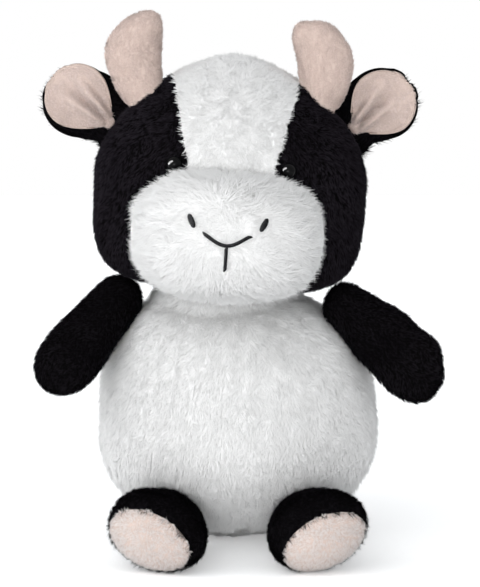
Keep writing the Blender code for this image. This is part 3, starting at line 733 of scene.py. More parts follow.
@dataclass(frozen=True)
class PileFinish(Finish):
    """Pile fibres: darker at the root with painted shade, paler at the tip, each tuft a little
    its own.
    """

    fabric: Fabric
    # The root colour is painted shade deep in the pile.
    root: Colour
    tip: Colour
    # Painted shade that some tufts take in patches.
    dull: Colour
    roughness: float = 0.9
    sheen: float = 0.1
    patch_scale: float = 70.0
    root_depth: float = 0.9

    def lay_out(self, sheet: NodeSheet) -> None:
        """Colour by height along the tuft, with painted shade on tufts in patches by the tuft's
        own tone.
        """
        settings = {"node_tree": TUFTS.tree()}
        tuft = sheet.add("ShaderNodeGroup", settings, Root_Depth=self.root_depth).outputs
        # Patches where the tufts take painted shade.
        wear_and_shade = sheet.spread(sheet.patches(self.patch_scale), 0.0, 1.0, 0.38, 0.66)
        shade_share = sheet.maths("MULTIPLY", wear_and_shade, tuft["Tone"])
        along = sheet.mix(tuft["Height"], self.root, self.tip)
        sheet.shade(
            Base_Color=sheet.mix(shade_share, along, self.dull),
            Roughness=sheet.spread(
                tuft["Tone"], self.roughness - 0.08, self.roughness + 0.05
            ),
            Sheen_Weight=self.sheen, Sheen_Roughness=0.45, Specular_IOR_Level=0.0,
        )


@dataclass(frozen=True)
class ClothFinish(Finish):
    """A flat cloth: the ground under a pile, a tape, or a bag."""

    colour: Colour
    thread: Colour
    backing: Backing
    roughness: float = 0.92
    relief: float = 0.35
    sheen: float = 0.1

    def lay_out(self, sheet: NodeSheet) -> None:
        """Colour and relief by thread, over soft patches."""
        settings = {"node_tree": THREADS.tree()}
        weave = sheet.add("ShaderNodeGroup", settings, Threads=self.backing.value).outputs[0]
        patches = sheet.patches(60.0)
        ground = sheet.mix(weave, self.colour, self.thread)
        sheet.shade(
            Base_Color=sheet.mix(sheet.maths("MULTIPLY", patches, 0.35), ground, self.thread),
            Roughness=sheet.spread(patches, self.roughness - 0.07, self.roughness + 0.05),
            Normal=sheet.relief(weave, self.relief, 0.2 * MM),
            Sheen_Weight=self.sheen, Specular_IOR_Level=0.0,
        )


@dataclass(frozen=True)
class FibreFinish(Finish):
    """Loose polyester fibre, as the stuffing shows where a cover is open."""

    colour: Colour
    # The hollow colour is painted shade between the strands.
    hollow: Colour

    def lay_out(self, sheet: NodeSheet) -> None:
        """Colour and relief by strand, with painted shade in the hollows between them."""
        strands = sheet.noise(sheet.place(), 420.0, 6.0, 2.5)
        both = sheet.maths("MULTIPLY", strands, sheet.patches(80.0))
        sheet.shade(
            Base_Color=sheet.mix(both, self.hollow, self.colour),
            Normal=sheet.relief(strands, 0.7, 0.6 * MM), Roughness=1.0,
        )


@dataclass(frozen=True)
class PlasticFinish(Finish):
    """Moulded plastic, polished or matt, with fine scuffs."""

    colour: Colour
    roughness: float
    scuff: float
    specular: float = 0.5

    def lay_out(self, sheet: NodeSheet) -> None:
        """Colour, roughness and relief by scuff."""
        patches = sheet.patches(240.0)
        wear_and_shade = tuple(min(1.0, part * 1.25 + 0.004) for part in self.colour)
        scuffed = self.roughness + self.scuff
        sheet.shade(
            Base_Color=sheet.mix(patches, self.colour, wear_and_shade),
            Roughness=sheet.spread(patches, self.roughness, scuffed, 0.35, 0.75),
            Normal=sheet.relief(patches, 0.05, 0.05 * MM), Specular_IOR_Level=self.specular,
        )


@dataclass(frozen=True)
class ThreadFinish(Finish):
    """Embroidery yarn: fine twist along each stitch, with a silky edge."""

    colour: Colour
    # The shine colour is a painted highlight along the twist.
    shine: Colour

    def lay_out(self, sheet: NodeSheet) -> None:
        """Colour and relief by the yarn's twist, with a painted highlight on it."""
        twist = sheet.bands(sheet.place(), "DIAGONAL", 900.0, 2.0, 2.0)
        twist_highlight = sheet.maths("MULTIPLY", twist, sheet.patches(300.0))
        sheet.shade(
            Base_Color=sheet.mix(twist_highlight, self.colour, self.shine),
            Normal=sheet.relief(twist, 0.5, 0.1 * MM), Roughness=0.7, Specular_IOR_Level=0.05,
        )


# Each pile's root colour, and the colour that its tufts take in patches, are painted shade among
# the tufts.
WHITE_PILE = PileFinish(
    "white_pile", Fabric.WHITE, (0.72, 0.72, 0.715), (0.97, 0.97, 0.965), (0.77, 0.77, 0.765),
    patch_scale=45.0, root_depth=0.7,
)
# The black pile's tips are many times paler than its roots: painted sheen on the tips.
BLACK_PILE = PileFinish(
    "black_pile", Fabric.BLACK, (0.0006, 0.0005, 0.0007), (0.033, 0.0285, 0.0355),
    (0.004, 0.0034, 0.0043), 0.8, 0.0, 60.0, 1.2,
)
# A darker copy of the black pile for the limbs and the ears: painted shade, as the same plush
# looks darker there.
SHADED_LIMB_PILE = replace(
    BLACK_PILE, name="limb_pile", root=(0.0002, 0.0002, 0.0002), tip=(0.0200, 0.0178, 0.0215),
    dull=(0.0018, 0.0016, 0.0020),
)
PALE_PILE = PileFinish(
    "pale_velour_pile", Fabric.PALE, (0.46, 0.345, 0.30), (0.83, 0.69, 0.64), (0.60, 0.47, 0.42)
)
# A paler copy of the pale velour for the ear linings: painted light.
LIT_LINING_PILE = PileFinish(
    "pale_lining_pile", Fabric.PALE, (0.51, 0.395, 0.355), (0.86, 0.745, 0.705),
    (0.66, 0.535, 0.49),
)
# A paler, greyer copy of the pale velour for the soles: painted light.
LIT_SOLE_PILE = PileFinish(
    "pale_sole_pile", Fabric.PALE, (0.58, 0.51, 0.48), (0.86, 0.81, 0.79), (0.72, 0.66, 0.635)
)
# The white and pale grounds are darker than their pile's tips, like the roots: painted shade at
# the base of the pile.
GROUNDS = {
    Fabric.WHITE: ClothFinish(
        "white_ground", (0.79, 0.79, 0.785), (0.81, 0.81, 0.805), Backing.KNITTED, 0.95, 0.05
    ),
    Fabric.BLACK: ClothFinish(
        "black_ground", (0.002, 0.002, 0.002), (0.004, 0.0035, 0.0042), Backing.KNITTED, 0.95,
        0.05, 0.0,
    ),
    Fabric.PALE: ClothFinish(
        "pale_ground", (0.56, 0.45, 0.40), (0.59, 0.475, 0.42), Backing.KNITTED, 0.95, 0.05
    ),
}
TAPE = ClothFinish("seam_tape", (0.70, 0.70, 0.68), (0.86, 0.86, 0.84), Backing.WOVEN, 0.85)
BAG_CLOTH = ClothFinish("bag_cloth", (0.62, 0.60, 0.54), (0.76, 0.74, 0.68), Backing.WOVEN)
FIBRE = FibreFinish("loose_fibre", (0.9, 0.9, 0.88), (0.72, 0.72, 0.70))
EYE_GLOSS = PlasticFinish("eye_gloss", (0.001, 0.001, 0.0012), 0.04, 0.03, 0.06)
WASHER_MATT = PlasticFinish("washer_matt", (0.8, 0.8, 0.78), 0.4, 0.2)
YARN = ThreadFinish("black_yarn", (0.0025, 0.0025, 0.003), (0.008, 0.008, 0.01))


def dress(obj: Object, finish: Finish) -> Object:
    """Give an object its finish.

    Args:
        obj: The object.
        finish: The finish.

    Returns:
        The object.
    """
    obj.data.materials.clear()
    obj.data.materials.append(finish.material())
    return obj


# ---------------------------------------------------------------- pile


@dataclass(frozen=True)
class Grain:
    """The way a pile is brushed: along a direction, away from a point, or both."""

    along: Vector
    centre: Optional[Vector] = None
    outward: float = 0.0

    def directions(self, points: Points) -> Points:
        """The brushing at each point, about 1 long.

        Args:
            points: The tufts' roots.

        Returns:
            One direction for each root.
        """
        ways = np.tile(np.array(self.along), (len(points), 1))
        if self.centre is not None:
            away = points - np.array(self.centre)
            away /= np.linalg.norm(away, axis=1)[:, None] + 1e-9
            ways = ways + away * self.outward
        return ways


def tuft_template(bends: int) -> tuple[Points, Points]:
    """One tuft of fibres, upright, 1 wide and 1 tall, in a few faces.

    Args:
        bends: Rings between its root and its tip.

    Returns:
        Its points, and the corners of its triangles.
    """
    bm = bmesh.new()
    bmesh.ops.create_cone(
        bm, cap_ends=True, cap_tris=False, segments=3, radius1=0.5, radius2=0.0, depth=1.0
    )
    bmesh.ops.translate(bm, verts=bm.verts, vec=(0, 0, 0.5))
    bmesh.ops.remove_doubles(bm, verts=bm.verts, dist=1e-5)
    for ring in range(bends):
        height = (ring + 1) / (bends + 1)
        bmesh.ops.bisect_plane(
            bm, geom=bm.verts[:] + bm.edges[:] + bm.faces[:], dist=1e-6,
            plane_co=(0, 0, height), plane_no=(0, 0, 1),
        )
        belt = [vert for vert in bm.verts if abs(vert.co.z - height) < 1e-4]
        bmesh.ops.scale(bm, verts=belt, vec=(1.45, 1.45, 1))
    bmesh.ops.triangulate(bm, faces=bm.faces)
    bmesh.ops.recalc_face_normals(bm, faces=bm.faces)
    bm.verts.ensure_lookup_table()
    points = np.array([vert.co[:] for vert in bm.verts])
    corners = np.array([[vert.index for vert in face.verts] for face in bm.faces])
    bm.free()
    return points, corners


def unit(vectors: Points) -> Points:
    """The vectors at length 1."""
    return vectors / (np.linalg.norm(vectors, axis=1)[:, None] + 1e-12)


@dataclass(frozen=True)
class Coat:
    """One kind of pile, with its cut, density and lie."""

    finish: PileFinish
    length: float
    width: float
    per_mm2: float
    lift: float
    bends: int = 0
    curl: float = 0.5
    lock: float = 2.5 * MM
    gather: float = 0.45
    stray: float = 0.35
    stray_size: float = 14 * MM
    uneven: float = 0.25
    roundness: float = 0.45
    lock_share: float = 0.6
    tuft_share: float = 0.45
    uneven_lift: float = 0.16
    uneven_width: float = 0.2
    shortest: float = 0.35
    least: float = 0.5
    most: float = 1.6

    def sow(
        self, bm: BMesh, bare: Sequence[Solid], rng: Rng
    ) -> tuple[Points, Points]:
        """Choose where the tufts are rooted.

        Args:
            bm: The cloth's outer surface.
            bare: Bodies inside which no tuft grows.
            rng: The seeded source of chance.

        Returns:
            The roots and the cloth's normal at each.
        """
        bm.normal_update()
        bm.verts.index_update()
        co = points_of(bm)
        normal = np.array([vert.normal[:] for vert in bm.verts])
        tris = np.array([[loop.vert.index for loop in tri] for tri in bm.calc_loop_triangles()])
        one, two, three = (co[tris[:, k]] for k in range(3))
        area = np.linalg.norm(np.cross(two - one, three - one), axis=1) / 2
        count = int(area.sum() / MM ** 2 * self.per_mm2)
        picked = rng.choice(len(tris), size=count, p=area / area.sum())
        share = rng.random((count, 2))
        fold = share.sum(axis=1) > 1
        share[fold] = 1 - share[fold]
        parts = np.column_stack((1 - share.sum(axis=1), share))
        roots = sum(parts[:, k, None] * co[tris[picked, k]] for k in range(3))
        normals = unit(sum(parts[:, k, None] * normal[tris[picked, k]] for k in range(3)))
        open_air = np.ones(count, bool)
        for solid in bare:
            open_air &= solid.fullness(roots) > 1
        return roots[open_air], normals[open_air]

    def locks(
        self, roots: Points, rng: Rng
    ) -> tuple[Points, Points]:
        """Gather neighbouring tufts into locks.

        Args:
            roots: The tufts' roots.
            rng: The seeded source of chance.

        Returns:
            Each tuft's lock as a number, and the locks' middles.
        """
        per_lock = max(2.0, self.lock ** 2 / MM ** 2 * self.per_mm2)
        count = max(1, int(len(roots) / per_lock))
        middles = roots[rng.choice(len(roots), size=count, replace=False)]
        tree = kdtree.KDTree(count)
        for index, middle in enumerate(middles):
            tree.insert(middle, index)
        tree.balance()
        return np.array([tree.find(root)[1] for root in roots]), middles

    def grow(
        self, name: str, bm: BMesh, grain: Grain, bare: Sequence[Solid] = (),
        crop: Optional[Crop] = None,
    ) -> Object:
        """Grow the pile of one cover.

        Args:
            name: The pile's name.
            bm: The cloth's outer surface.
            grain: How it is brushed.
            bare: Bodies inside which no tuft grows.
            crop: Share of the length that is left at each root, if it is cropped.

        Returns:
            The pile as one object.
        """
        rng = seeded(name)
        roots, normals = self.sow(bm, bare, rng)
        count = len(roots)
        lock, middles = self.locks(roots, rng)
        lock_turn = rng.normal(size=(len(middles), 3)) * self.stray * self.lock_share
        lock_length = rng.normal(1, self.uneven * self.lock_share, len(middles))
        ways = unit(grain.directions(roots))
        ways = ways + waves(roots, self.stray_size, rng) * self.stray
        own_turn = rng.normal(size=(count, 3)) * self.stray * self.tuft_share
        ways = ways + lock_turn[lock] + own_turn
        ways -= normals * (ways * normals).sum(axis=1)[:, None]
        ways = unit(ways)
        spread = rng.normal(1, self.uneven_lift, count).clip(self.least, self.most)
        lift = np.radians(self.lift) * spread
        length = self.length * lock_length[lock] * rng.normal(1, self.uneven, count)
        length = length.clip(self.length * self.shortest, self.length * self.most)
        if crop is not None:
            length = length * crop(roots)
        points, corners = tuft_template(self.bends)
        height = points[:, 2]
        side = unit(np.cross(normals, ways))
        thick = unit(np.cross(ways, side))
        across = (
            points[None, :, 0, None] * side[:, None, :]
            + points[None, :, 1, None] * thick[:, None, :]
        )
        spread = rng.normal(1, self.uneven_width, count).clip(self.least, self.most)
        width = self.width * spread
        up = np.outer(np.sin(lift), height * (1 - self.curl * 0.45 * height))
        on = np.outer(np.cos(lift), height * (1 + self.curl * 0.12 * height))
        pull = (middles[lock] - roots) * self.gather
        co = roots[:, None, :] + length[:, None, None] * (
            up[:, :, None] * normals[:, None, :] + on[:, :, None] * ways[:, None, :]
        )
        co += (height ** 2)[None, :, None] * pull[:, None, :]
        co += width[:, None, None] * across
        co[:, :, 2] = np.maximum(co[:, :, 2], FLOOR_FILM)
        tone = 0.5 * rng.random(len(middles))[lock] + 0.5 * rng.random(count)
        soft = unit((normals[:, None, :] + across * self.roundness).reshape(-1, 3))
        return self.weld(name, co, corners, tone, points, soft)

    def weld(
        self, name: str, co: Points, corners: Points, tone: Points,
        points: Points, soft: Points,
    ) -> Object:
        """Write all tufts into one mesh, with the map that its finish reads.

        Args:
            name: The pile's name.
            co: Points of every tuft.
            corners: Triangle corners of one tuft.
            tone: Each tuft's own tone.
            points: Points of one tuft.
            soft: Shading normals, turned towards the cloth's.

        Returns:
            The pile as one object.
        """
        count, each = co.shape[:2]
        faces = (corners[None] + (np.arange(count) * each)[:, None, None]).reshape(-1, 3)
        mesh = bpy.data.meshes.new(name)
        mesh.vertices.add(count * each)
        mesh.vertices.foreach_set("co", co.astype(np.float32).ravel())
        mesh.loops.add(faces.size)
        mesh.loops.foreach_set("vertex_index", faces.astype(np.int32).ravel())
        mesh.polygons.add(len(faces))
        mesh.polygons.foreach_set("loop_start", np.arange(0, faces.size, 3, dtype=np.int32))
        mesh.polygons.foreach_set("use_smooth", np.ones(len(faces), bool))
        mesh.update(calc_edges=True)
        around = points[:, 0] * 0.05
        spot = np.stack(
            (
                tone[:, None] * 0.9 + 0.05 + around[None, :],
                np.broadcast_to(points[None, :, 2] * 0.98 + 0.01, (count, each)),
            ), axis=-1,
        ).reshape(-1, 2)
        for layer in (PILE_MAP, BAKE_MAP):
            uv = mesh.uv_layers.new(name=layer, do_init=False)
            uv.data.foreach_set("uv", spot[faces.ravel()].astype(np.float32).ravel())
        mesh.uv_layers.active = mesh.uv_layers[PILE_MAP]
        mesh.normals_split_custom_set_from_vertices(soft.astype(np.float32))
        obj = bpy.data.objects.new(name, mesh)
        bpy.context.scene.collection.objects.link(obj)
        return dress(obj, self.finish)


WHITE_COAT = Coat(
    WHITE_PILE, 4.3 * MM, 0.7 * MM, 2.3, 40.0, lock=1.8 * MM, gather=0.45,
    stray=0.36, stray_size=8 * MM, roundness=0.9,
)
MUZZLE_COAT = Coat(
    WHITE_PILE, 6.0 * MM, 0.62 * MM, 2.8, 36.0, lock=2.2 * MM, gather=0.45,
    stray=0.24, roundness=0.7,
)
BLACK_COAT = Coat(
    BLACK_PILE, 2.6 * MM, 0.36 * MM, 2.7, 38.0, lock=1.5 * MM, gather=0.22,
    stray=0.4, roundness=1.2,
)
LIMB_COAT = Coat(
    SHADED_LIMB_PILE, 2.4 * MM, 0.36 * MM, 2.7, 36.0, lock=1.5 * MM, gather=0.22,
    stray=0.4, roundness=1.2,
)
VELOUR_COAT = Coat(
    PALE_PILE, 1.3 * MM, 0.34 * MM, 5.0, 46.0, lock=1.6 * MM, gather=0.35,
    stray=0.6, stray_size=7 * MM, roundness=1.0,
)
SOLE_COAT = replace(VELOUR_COAT, finish=LIT_SOLE_PILE)
LINING_COAT = replace(VELOUR_COAT, finish=LIT_LINING_PILE)
BLAZE_COAT = Coat(
    WHITE_PILE, 2.8 * MM, 0.55 * MM, 3.6, 44.0, lock=1.6 * MM, gather=0.35, stray=0.26,
    stray_size=8 * MM, roundness=0.8,
)
EAR_COAT = Coat(
    SHADED_LIMB_PILE, 2.6 * MM, 0.34 * MM, 3.6, 42.0, lock=1.4 * MM, gather=0.25, stray=0.3,
    roundness=0.45,
)
BASE_COAT = Coat(WHITE_PILE, 4.2 * MM, 0.6 * MM, 0.9, 24.0, bends=1)
TAIL_COAT = Coat(WHITE_PILE, 2.6 * MM, 0.5 * MM, 1.6, 32.0, bends=1)
TUFT_COAT = Coat(BLACK_PILE, 7.5 * MM, 0.6 * MM, 1.8, 20.0, bends=1)


# ---------------------------------------------------------------- sub-assemblies


class Maker:
    """What every sub-assembly shares: how a finished piece is handed over."""

    def hand_over(
        self, obj: Object, body: str, slot: str, node: str = "", fill: Optional[float] = None
    ) -> None:
        """Put a piece on its body, and hide the node it stands for.

        Args:
            obj: The piece.
            body: The body it moves with.
            slot: The record's material slot; not used.
            node: The node it replaces, if any.
            fill: How tight it is stuffed, if it is a stuffed piece; not used.
        """
        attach(obj, body)
        if node:
            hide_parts(node)
        log.info("%s rides %s, %d faces", obj.name, body, len(obj.data.polygons))

    def cover(
        self, node: str, body: str, bm: BMesh, coat: Coat, grain: Grain,
        bare: Sequence[Solid] = (), fill: float = 0.85, crop: Optional[Crop] = None,
        wall: float = 0.5 * MM,
    ) -> None:
        """Make one cover: its pile, and the cloth under it.

        Args:
            node: The node it replaces.
            body: The body it moves with.
            bm: The cloth's outer surface, in the row frame.
            coat: Its pile.
            grain: How the pile is brushed.
            bare: Bodies inside which no tuft grows.
            fill: How tight it is stuffed.
            crop: Share of the pile's length left at each root, if it is cropped.
            wall: The cloth's thickness, inwards.
        """
        fabric = coat.finish.fabric
        pile = coat.grow(f"{node}_pile", bm, grain, bare, crop)
        bmesh.ops.solidify(bm, geom=bm.faces[:], thickness=wall)
        cloth = dress(make_object(f"{node}_cloth", bm), GROUNDS[fabric])
        self.hand_over(cloth, body, fabric.value, node, fill)
        self.hand_over(pile, body, fabric.value)

    def stuff(self, node: str, body: str, bm: BMesh, fill: float = 0.9) -> None:
        """Make the wad of fibre that fills a cover.

        Args:
            node: The node it replaces.
            body: The body it moves with.
            bm: The wad's surface.
            fill: How tight it is stuffed.
        """
        wad = dress(make_object(f"{node}_wad", bm), FIBRE)
        self.hand_over(wad, body, "fibre_fill", node, fill)


NECK = Vector((-5 * MM, 2 * MM, 97 * MM))
DOME_RADIUS = 38 * MM
HEAD_TILT = math.radians(3.5)
HEAD_FRAME = (
    Matrix.Translation(NECK) @ Matrix.Rotation(HEAD_TILT, 4, "Y")
    @ Matrix.Translation((-2.3 * MM, -7 * MM, 71 * MM))
)
HEAD = Solid(HEAD_FRAME, Egg(63 * MM, 53 * MM, 58 * MM, 56 * MM, 53 * MM, 1.62, 4.4, 2.1))
MUZZLE = Solid(
    HEAD_FRAME @ Matrix.Translation((0, -42 * MM, -24.5 * MM)),
    Egg(42 * MM, 40 * MM, 24 * MM, 29.5 * MM, 29.5 * MM, 2.6, 2.6, 2.2),
)


@dataclass
class Torso(Maker):
    """Front, back and base panels, the filling, the bag of pellets and the label."""

    egg: Egg = Egg(65 * MM, 56 * MM, 56 * MM, 68 * MM, 52.5 * MM, 2.6, 2.1)
    widest: float = 50 * MM
    seat_back: float = 9 * MM
    lean: float = 5 * MM
    base_seam: float = 9 * MM
    inset: float = 2.6 * MM
    wall: float = 0.6 * MM
    seam_gap: float = 0.5 * MM
    sides: int = 112
    rows: int = 72
    bag: Egg = Egg(30 * MM, 28 * MM, 28 * MM, 17 * MM, 17 * MM)
    bag_place: Vector = Vector((0, 4 * MM, 15 * MM))
    bag_sides: int = 48
    bag_rows: int = 28
    label_loop: float = 0.55 * MM
    label_wall: float = 0.18 * MM
    label_steps: int = 6

    def sit(self, point: Vector) -> Vector:
        """Move a point of the egg as the torso sits.

        Args:
            point: A point of the egg.

        Returns:
            The point, further back below the widest level and further left above it.
        """
        if point.z < 0:
            point.y += self.seat_back * (point.z / self.widest) ** 2
        else:
            point.x -= self.lean * (point.z / self.egg.up) ** 2
        return point

    def shell(self, sockets: Sequence[Solid]) -> BMesh:
        """The whole torso's cloth surface.

        Args:
            sockets: The roots of the limbs, which it keeps clear of.

        Returns:
            The mesh in the row frame.
        """
        frame = Matrix.Translation((0, 0, self.widest))
        bm = form_surface(self.egg, frame, self.sides, self.rows, self.inset, self.sit)
        lump(bm, 0.5 * MM, 34 * MM, "torso")
        ball(NECK, DOME_RADIUS - 1.6 * MM).push_out(bm)
        rest_on_floor(bm)
        keep_clear(bm, sockets)
        return bm

    def build(self, sockets: Sequence[Solid]) -> None:
        """Make the panels and what they hold.

        Args:
            sockets: The roots of the limbs.
        """
        half = self.seam_gap / 2
        hidden = [HEAD.grown(-9 * MM), *sockets]
        down = Grain(Vector((0, -0.1, -1)), Vector((0, 0, 75 * MM)), 0.35)
        for name, sign in (("torso_front_panel", 1), ("torso_back_panel", -1)):
            bm = self.shell(sockets)
            part_at(bm, Vector((0, -sign * half, 0)), Vector((0, sign, 0)))
            part_at(bm, Vector((0, 0, self.base_seam + half)), Vector((0, 0, -1)))
            self.cover(name, "seat", bm, WHITE_COAT, down, hidden, wall=self.wall)
        bm = self.shell(sockets)
        part_at(bm, Vector((0, 0, self.base_seam - half)), Vector((0, 0, 1)))
        out = Grain(Vector((0, 0, -0.2)), Vector((0, 5 * MM, 6 * MM)), 1.0)
        self.cover("torso_base_panel", "seat", bm, BASE_COAT, out, hidden, wall=self.wall)
        self.filling(sockets)
        self.label()

    def bag_surface(self, inset: float) -> BMesh:
        """The bag of pellets, drawn in by an inset."""
        frame = Matrix.Translation(self.bag_place)
        return form_surface(self.bag, frame, self.bag_sides, self.bag_rows, inset)

    def filling(self, sockets: Sequence[Solid]) -> None:
        """The wad of fibre round the bag of pellets.

        Args:
            sockets: The roots of the limbs.
        """
        bm = self.bag_surface(0.4 * MM)
        lump(bm, 0.3 * MM, 6 * MM, "pellet_pouch")
        rest_on_floor(bm, 4.2 * MM)
        pouch = dress(make_object("pellet_pouch_bag", bm), BAG_CLOTH)
        self.hand_over(pouch, "seat", "pouch_cloth", "pellet_pouch", 0.7)
        frame = Matrix.Translation((0, 0, self.widest))
        bm = form_surface(self.egg, frame, 48, 32, self.inset + 1.2 * MM, self.sit)
        ball(NECK, DOME_RADIUS - 4 * MM).push_out(bm)
        rest_on_floor(bm, 3.2 * MM)
        keep_clear(bm, [socket.grown(1.6 * MM) for socket in sockets])
        wad = make_object("torso_fill_wad", bm)
        room = make_object("room", self.bag_surface(-0.6 * MM))
        hollow = wad.modifiers.new("bag_room", "BOOLEAN")
        hollow.operation = "DIFFERENCE"
        hollow.object = room
        bpy.context.view_layer.update()
        seen = wad.evaluated_get(bpy.context.evaluated_depsgraph_get())
        mesh = bpy.data.meshes.new_from_object(seen)
        wad.modifiers.clear()
        wad.data = mesh
        bpy.data.objects.remove(room, do_unlink=True)
        self.hand_over(dress(wad, FIBRE), "seat", "fibre_fill", "torso_fill", 0.9)

    def label(self) -> None:
        """The blank care label: a ribbon folded in half, its ends in the base seam."""
        low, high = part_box("care_label")
        width = high.x - low.x
        loop, count = self.label_loop, self.label_steps
        reach = high.y - low.y - loop
        bm = bmesh.new()
        start = Vector((low.x, low.y, ((low + high) / 2).z + loop))
        edge = [bm.verts.new(start), bm.verts.new(start + Vector((width, 0, 0)))]
        strip = [bm.edges.new(edge)]
        steps = [Vector((0, reach / count, -0.02 * MM * k)) for k in range(count)]
        for k in range(count):
            angle = math.pi * (k + 0.5) / count
            size = loop * math.pi / count
            steps.append(Vector((0, math.cos(angle), -math.sin(angle))) * size)
        steps += [Vector((0, -reach / count, 0.02 * MM * k)) for k in range(count)]
        for step in steps:
            drawn = bmesh.ops.extrude_edge_only(bm, edges=strip)["geom"]
            verts = [item for item in drawn if isinstance(item, bmesh.types.BMVert)]
            strip = [
                item for item in drawn
                if isinstance(item, bmesh.types.BMEdge) and set(item.verts) == set(verts)
            ]
            bmesh.ops.translate(bm, verts=verts, vec=step)
        bmesh.ops.solidify(bm, geom=bm.faces[:], thickness=self.label_wall)
        bmesh.ops.recalc_face_normals(bm, faces=bm.faces)
        ribbon = dress(make_object("care_label_ribbon", bm), TAPE)
        self.hand_over(ribbon, "seat", "seam_tape", "care_label")


@dataclass
class Tail(Maker):
    """The tail's white tube and the black tuft at its end."""

    root: Vector = Vector((0, 54.268 * MM, 32 * MM))
    drop: float = math.radians(41)
    tube: Limb = Limb(4.6 * MM, 3.8 * MM, 3.8 * MM, 24 * MM, 4 * MM)
    brush: Limb = Limb(4 * MM, 6.2 * MM, 6.2 * MM, 18 * MM, 11 * MM)
    brush_gap: float = 2.6 * MM
    sides: int = 32
    rows: int = 36

    def build(self) -> None:
        """Make both pieces."""
        along = Vector((0, math.cos(self.drop), -math.sin(self.drop)))
        frame = aim(self.root, along, Vector((1, 0, 0)))
        bm = form_surface(self.tube, frame, self.sides, self.rows, 1.3 * MM)
        self.cover("tail_cover", "tail", bm, TAIL_COAT, Grain(along))
        frame = frame @ Matrix.Translation((0, 0, self.tube.length + self.brush_gap))
        bm = form_surface(self.brush, frame, self.sides, self.rows, 1.4 * MM)
        self.cover("tail_tuft", "tail", bm, TUFT_COAT, Grain(along))


@dataclass
class Head(Maker):
    """The blaze, the two side panels and the filling behind them."""

    blaze_half_width: float = 17.5 * MM
    blaze_spread: float = 0.24
    black_inset: float = 1.9 * MM
    white_inset: float = 2.4 * MM
    wall: float = 0.6 * MM
    seam_gap: float = 0.4 * MM
    sides: int = 128
    rows: int = 80

    def surface(self, inset: float, clear: Sequence[Solid]) -> BMesh:
        """The whole head's cloth surface.

        Args:
            inset: How far it is drawn in.
            clear: Bodies that it keeps clear of.

        Returns:
            The mesh in the row frame.
        """
        bm = form_surface(HEAD.egg, HEAD_FRAME, self.sides, self.rows, inset)
        lump(bm, 0.4 * MM, 30 * MM, "head")
        keep_clear(bm, clear)
        return bm

    def blaze_plane(self, side: Side, gap: float) -> tuple[Vector, Vector]:
        """The plane that parts the blaze from a side panel.

        Args:
            side: Which edge of the blaze.
            gap: How much further out the plane stands.

        Returns:
            A point of the plane and its normal, outwards.
        """
        point = Vector((side.value * (self.blaze_half_width + gap), 0, 0))
        normal = Vector((side.value, 0, -self.blaze_spread)).normalized()
        return HEAD_FRAME @ point, HEAD_FRAME.to_3x3() @ normal

    def build(self, sockets: Sequence[Solid], hidden: Sequence[Solid], crop: Crop) -> None:
        """Make the panels and the filling.

        Args:
            sockets: The neck's, the ears' and the eyes' rooms.
            hidden: Bodies under which no pile grows.
            crop: Share of the pile's length that is left at each root.
        """
        half = self.seam_gap / 2
        bare = [*sockets, *hidden]
        bm = self.surface(self.white_inset, sockets)
        for side in Side:
            part_at(bm, *self.blaze_plane(side, -half))
        brushed = Grain(HEAD_FRAME.to_3x3() @ Vector((0, 0.7, -0.7)))
        self.cover(
            "head_blaze_panel", "head", bm, BLAZE_COAT, brushed, bare, crop=crop,
            wall=self.wall,
        )
        back = Grain(HEAD_FRAME.to_3x3() @ Vector((0, 0.25, -1)))
        for side in Side:
            bm = self.surface(self.black_inset, sockets)
            point, normal = self.blaze_plane(side, half)
            part_at(bm, point, -normal)
            self.cover(
                f"head_{side.label}_panel", "head", bm, BLACK_COAT, back, bare, crop=crop,
                wall=self.wall,
            )
        bm = form_surface(HEAD.egg, HEAD_FRAME, 40, 24, self.white_inset + 1.6 * MM)
        lump(bm, 0.25 * MM, 9 * MM, "head_fill")
        keep_clear(bm, [room.grown(1.4 * MM) for room in sockets])
        self.stuff("head_fill", "head", bm)


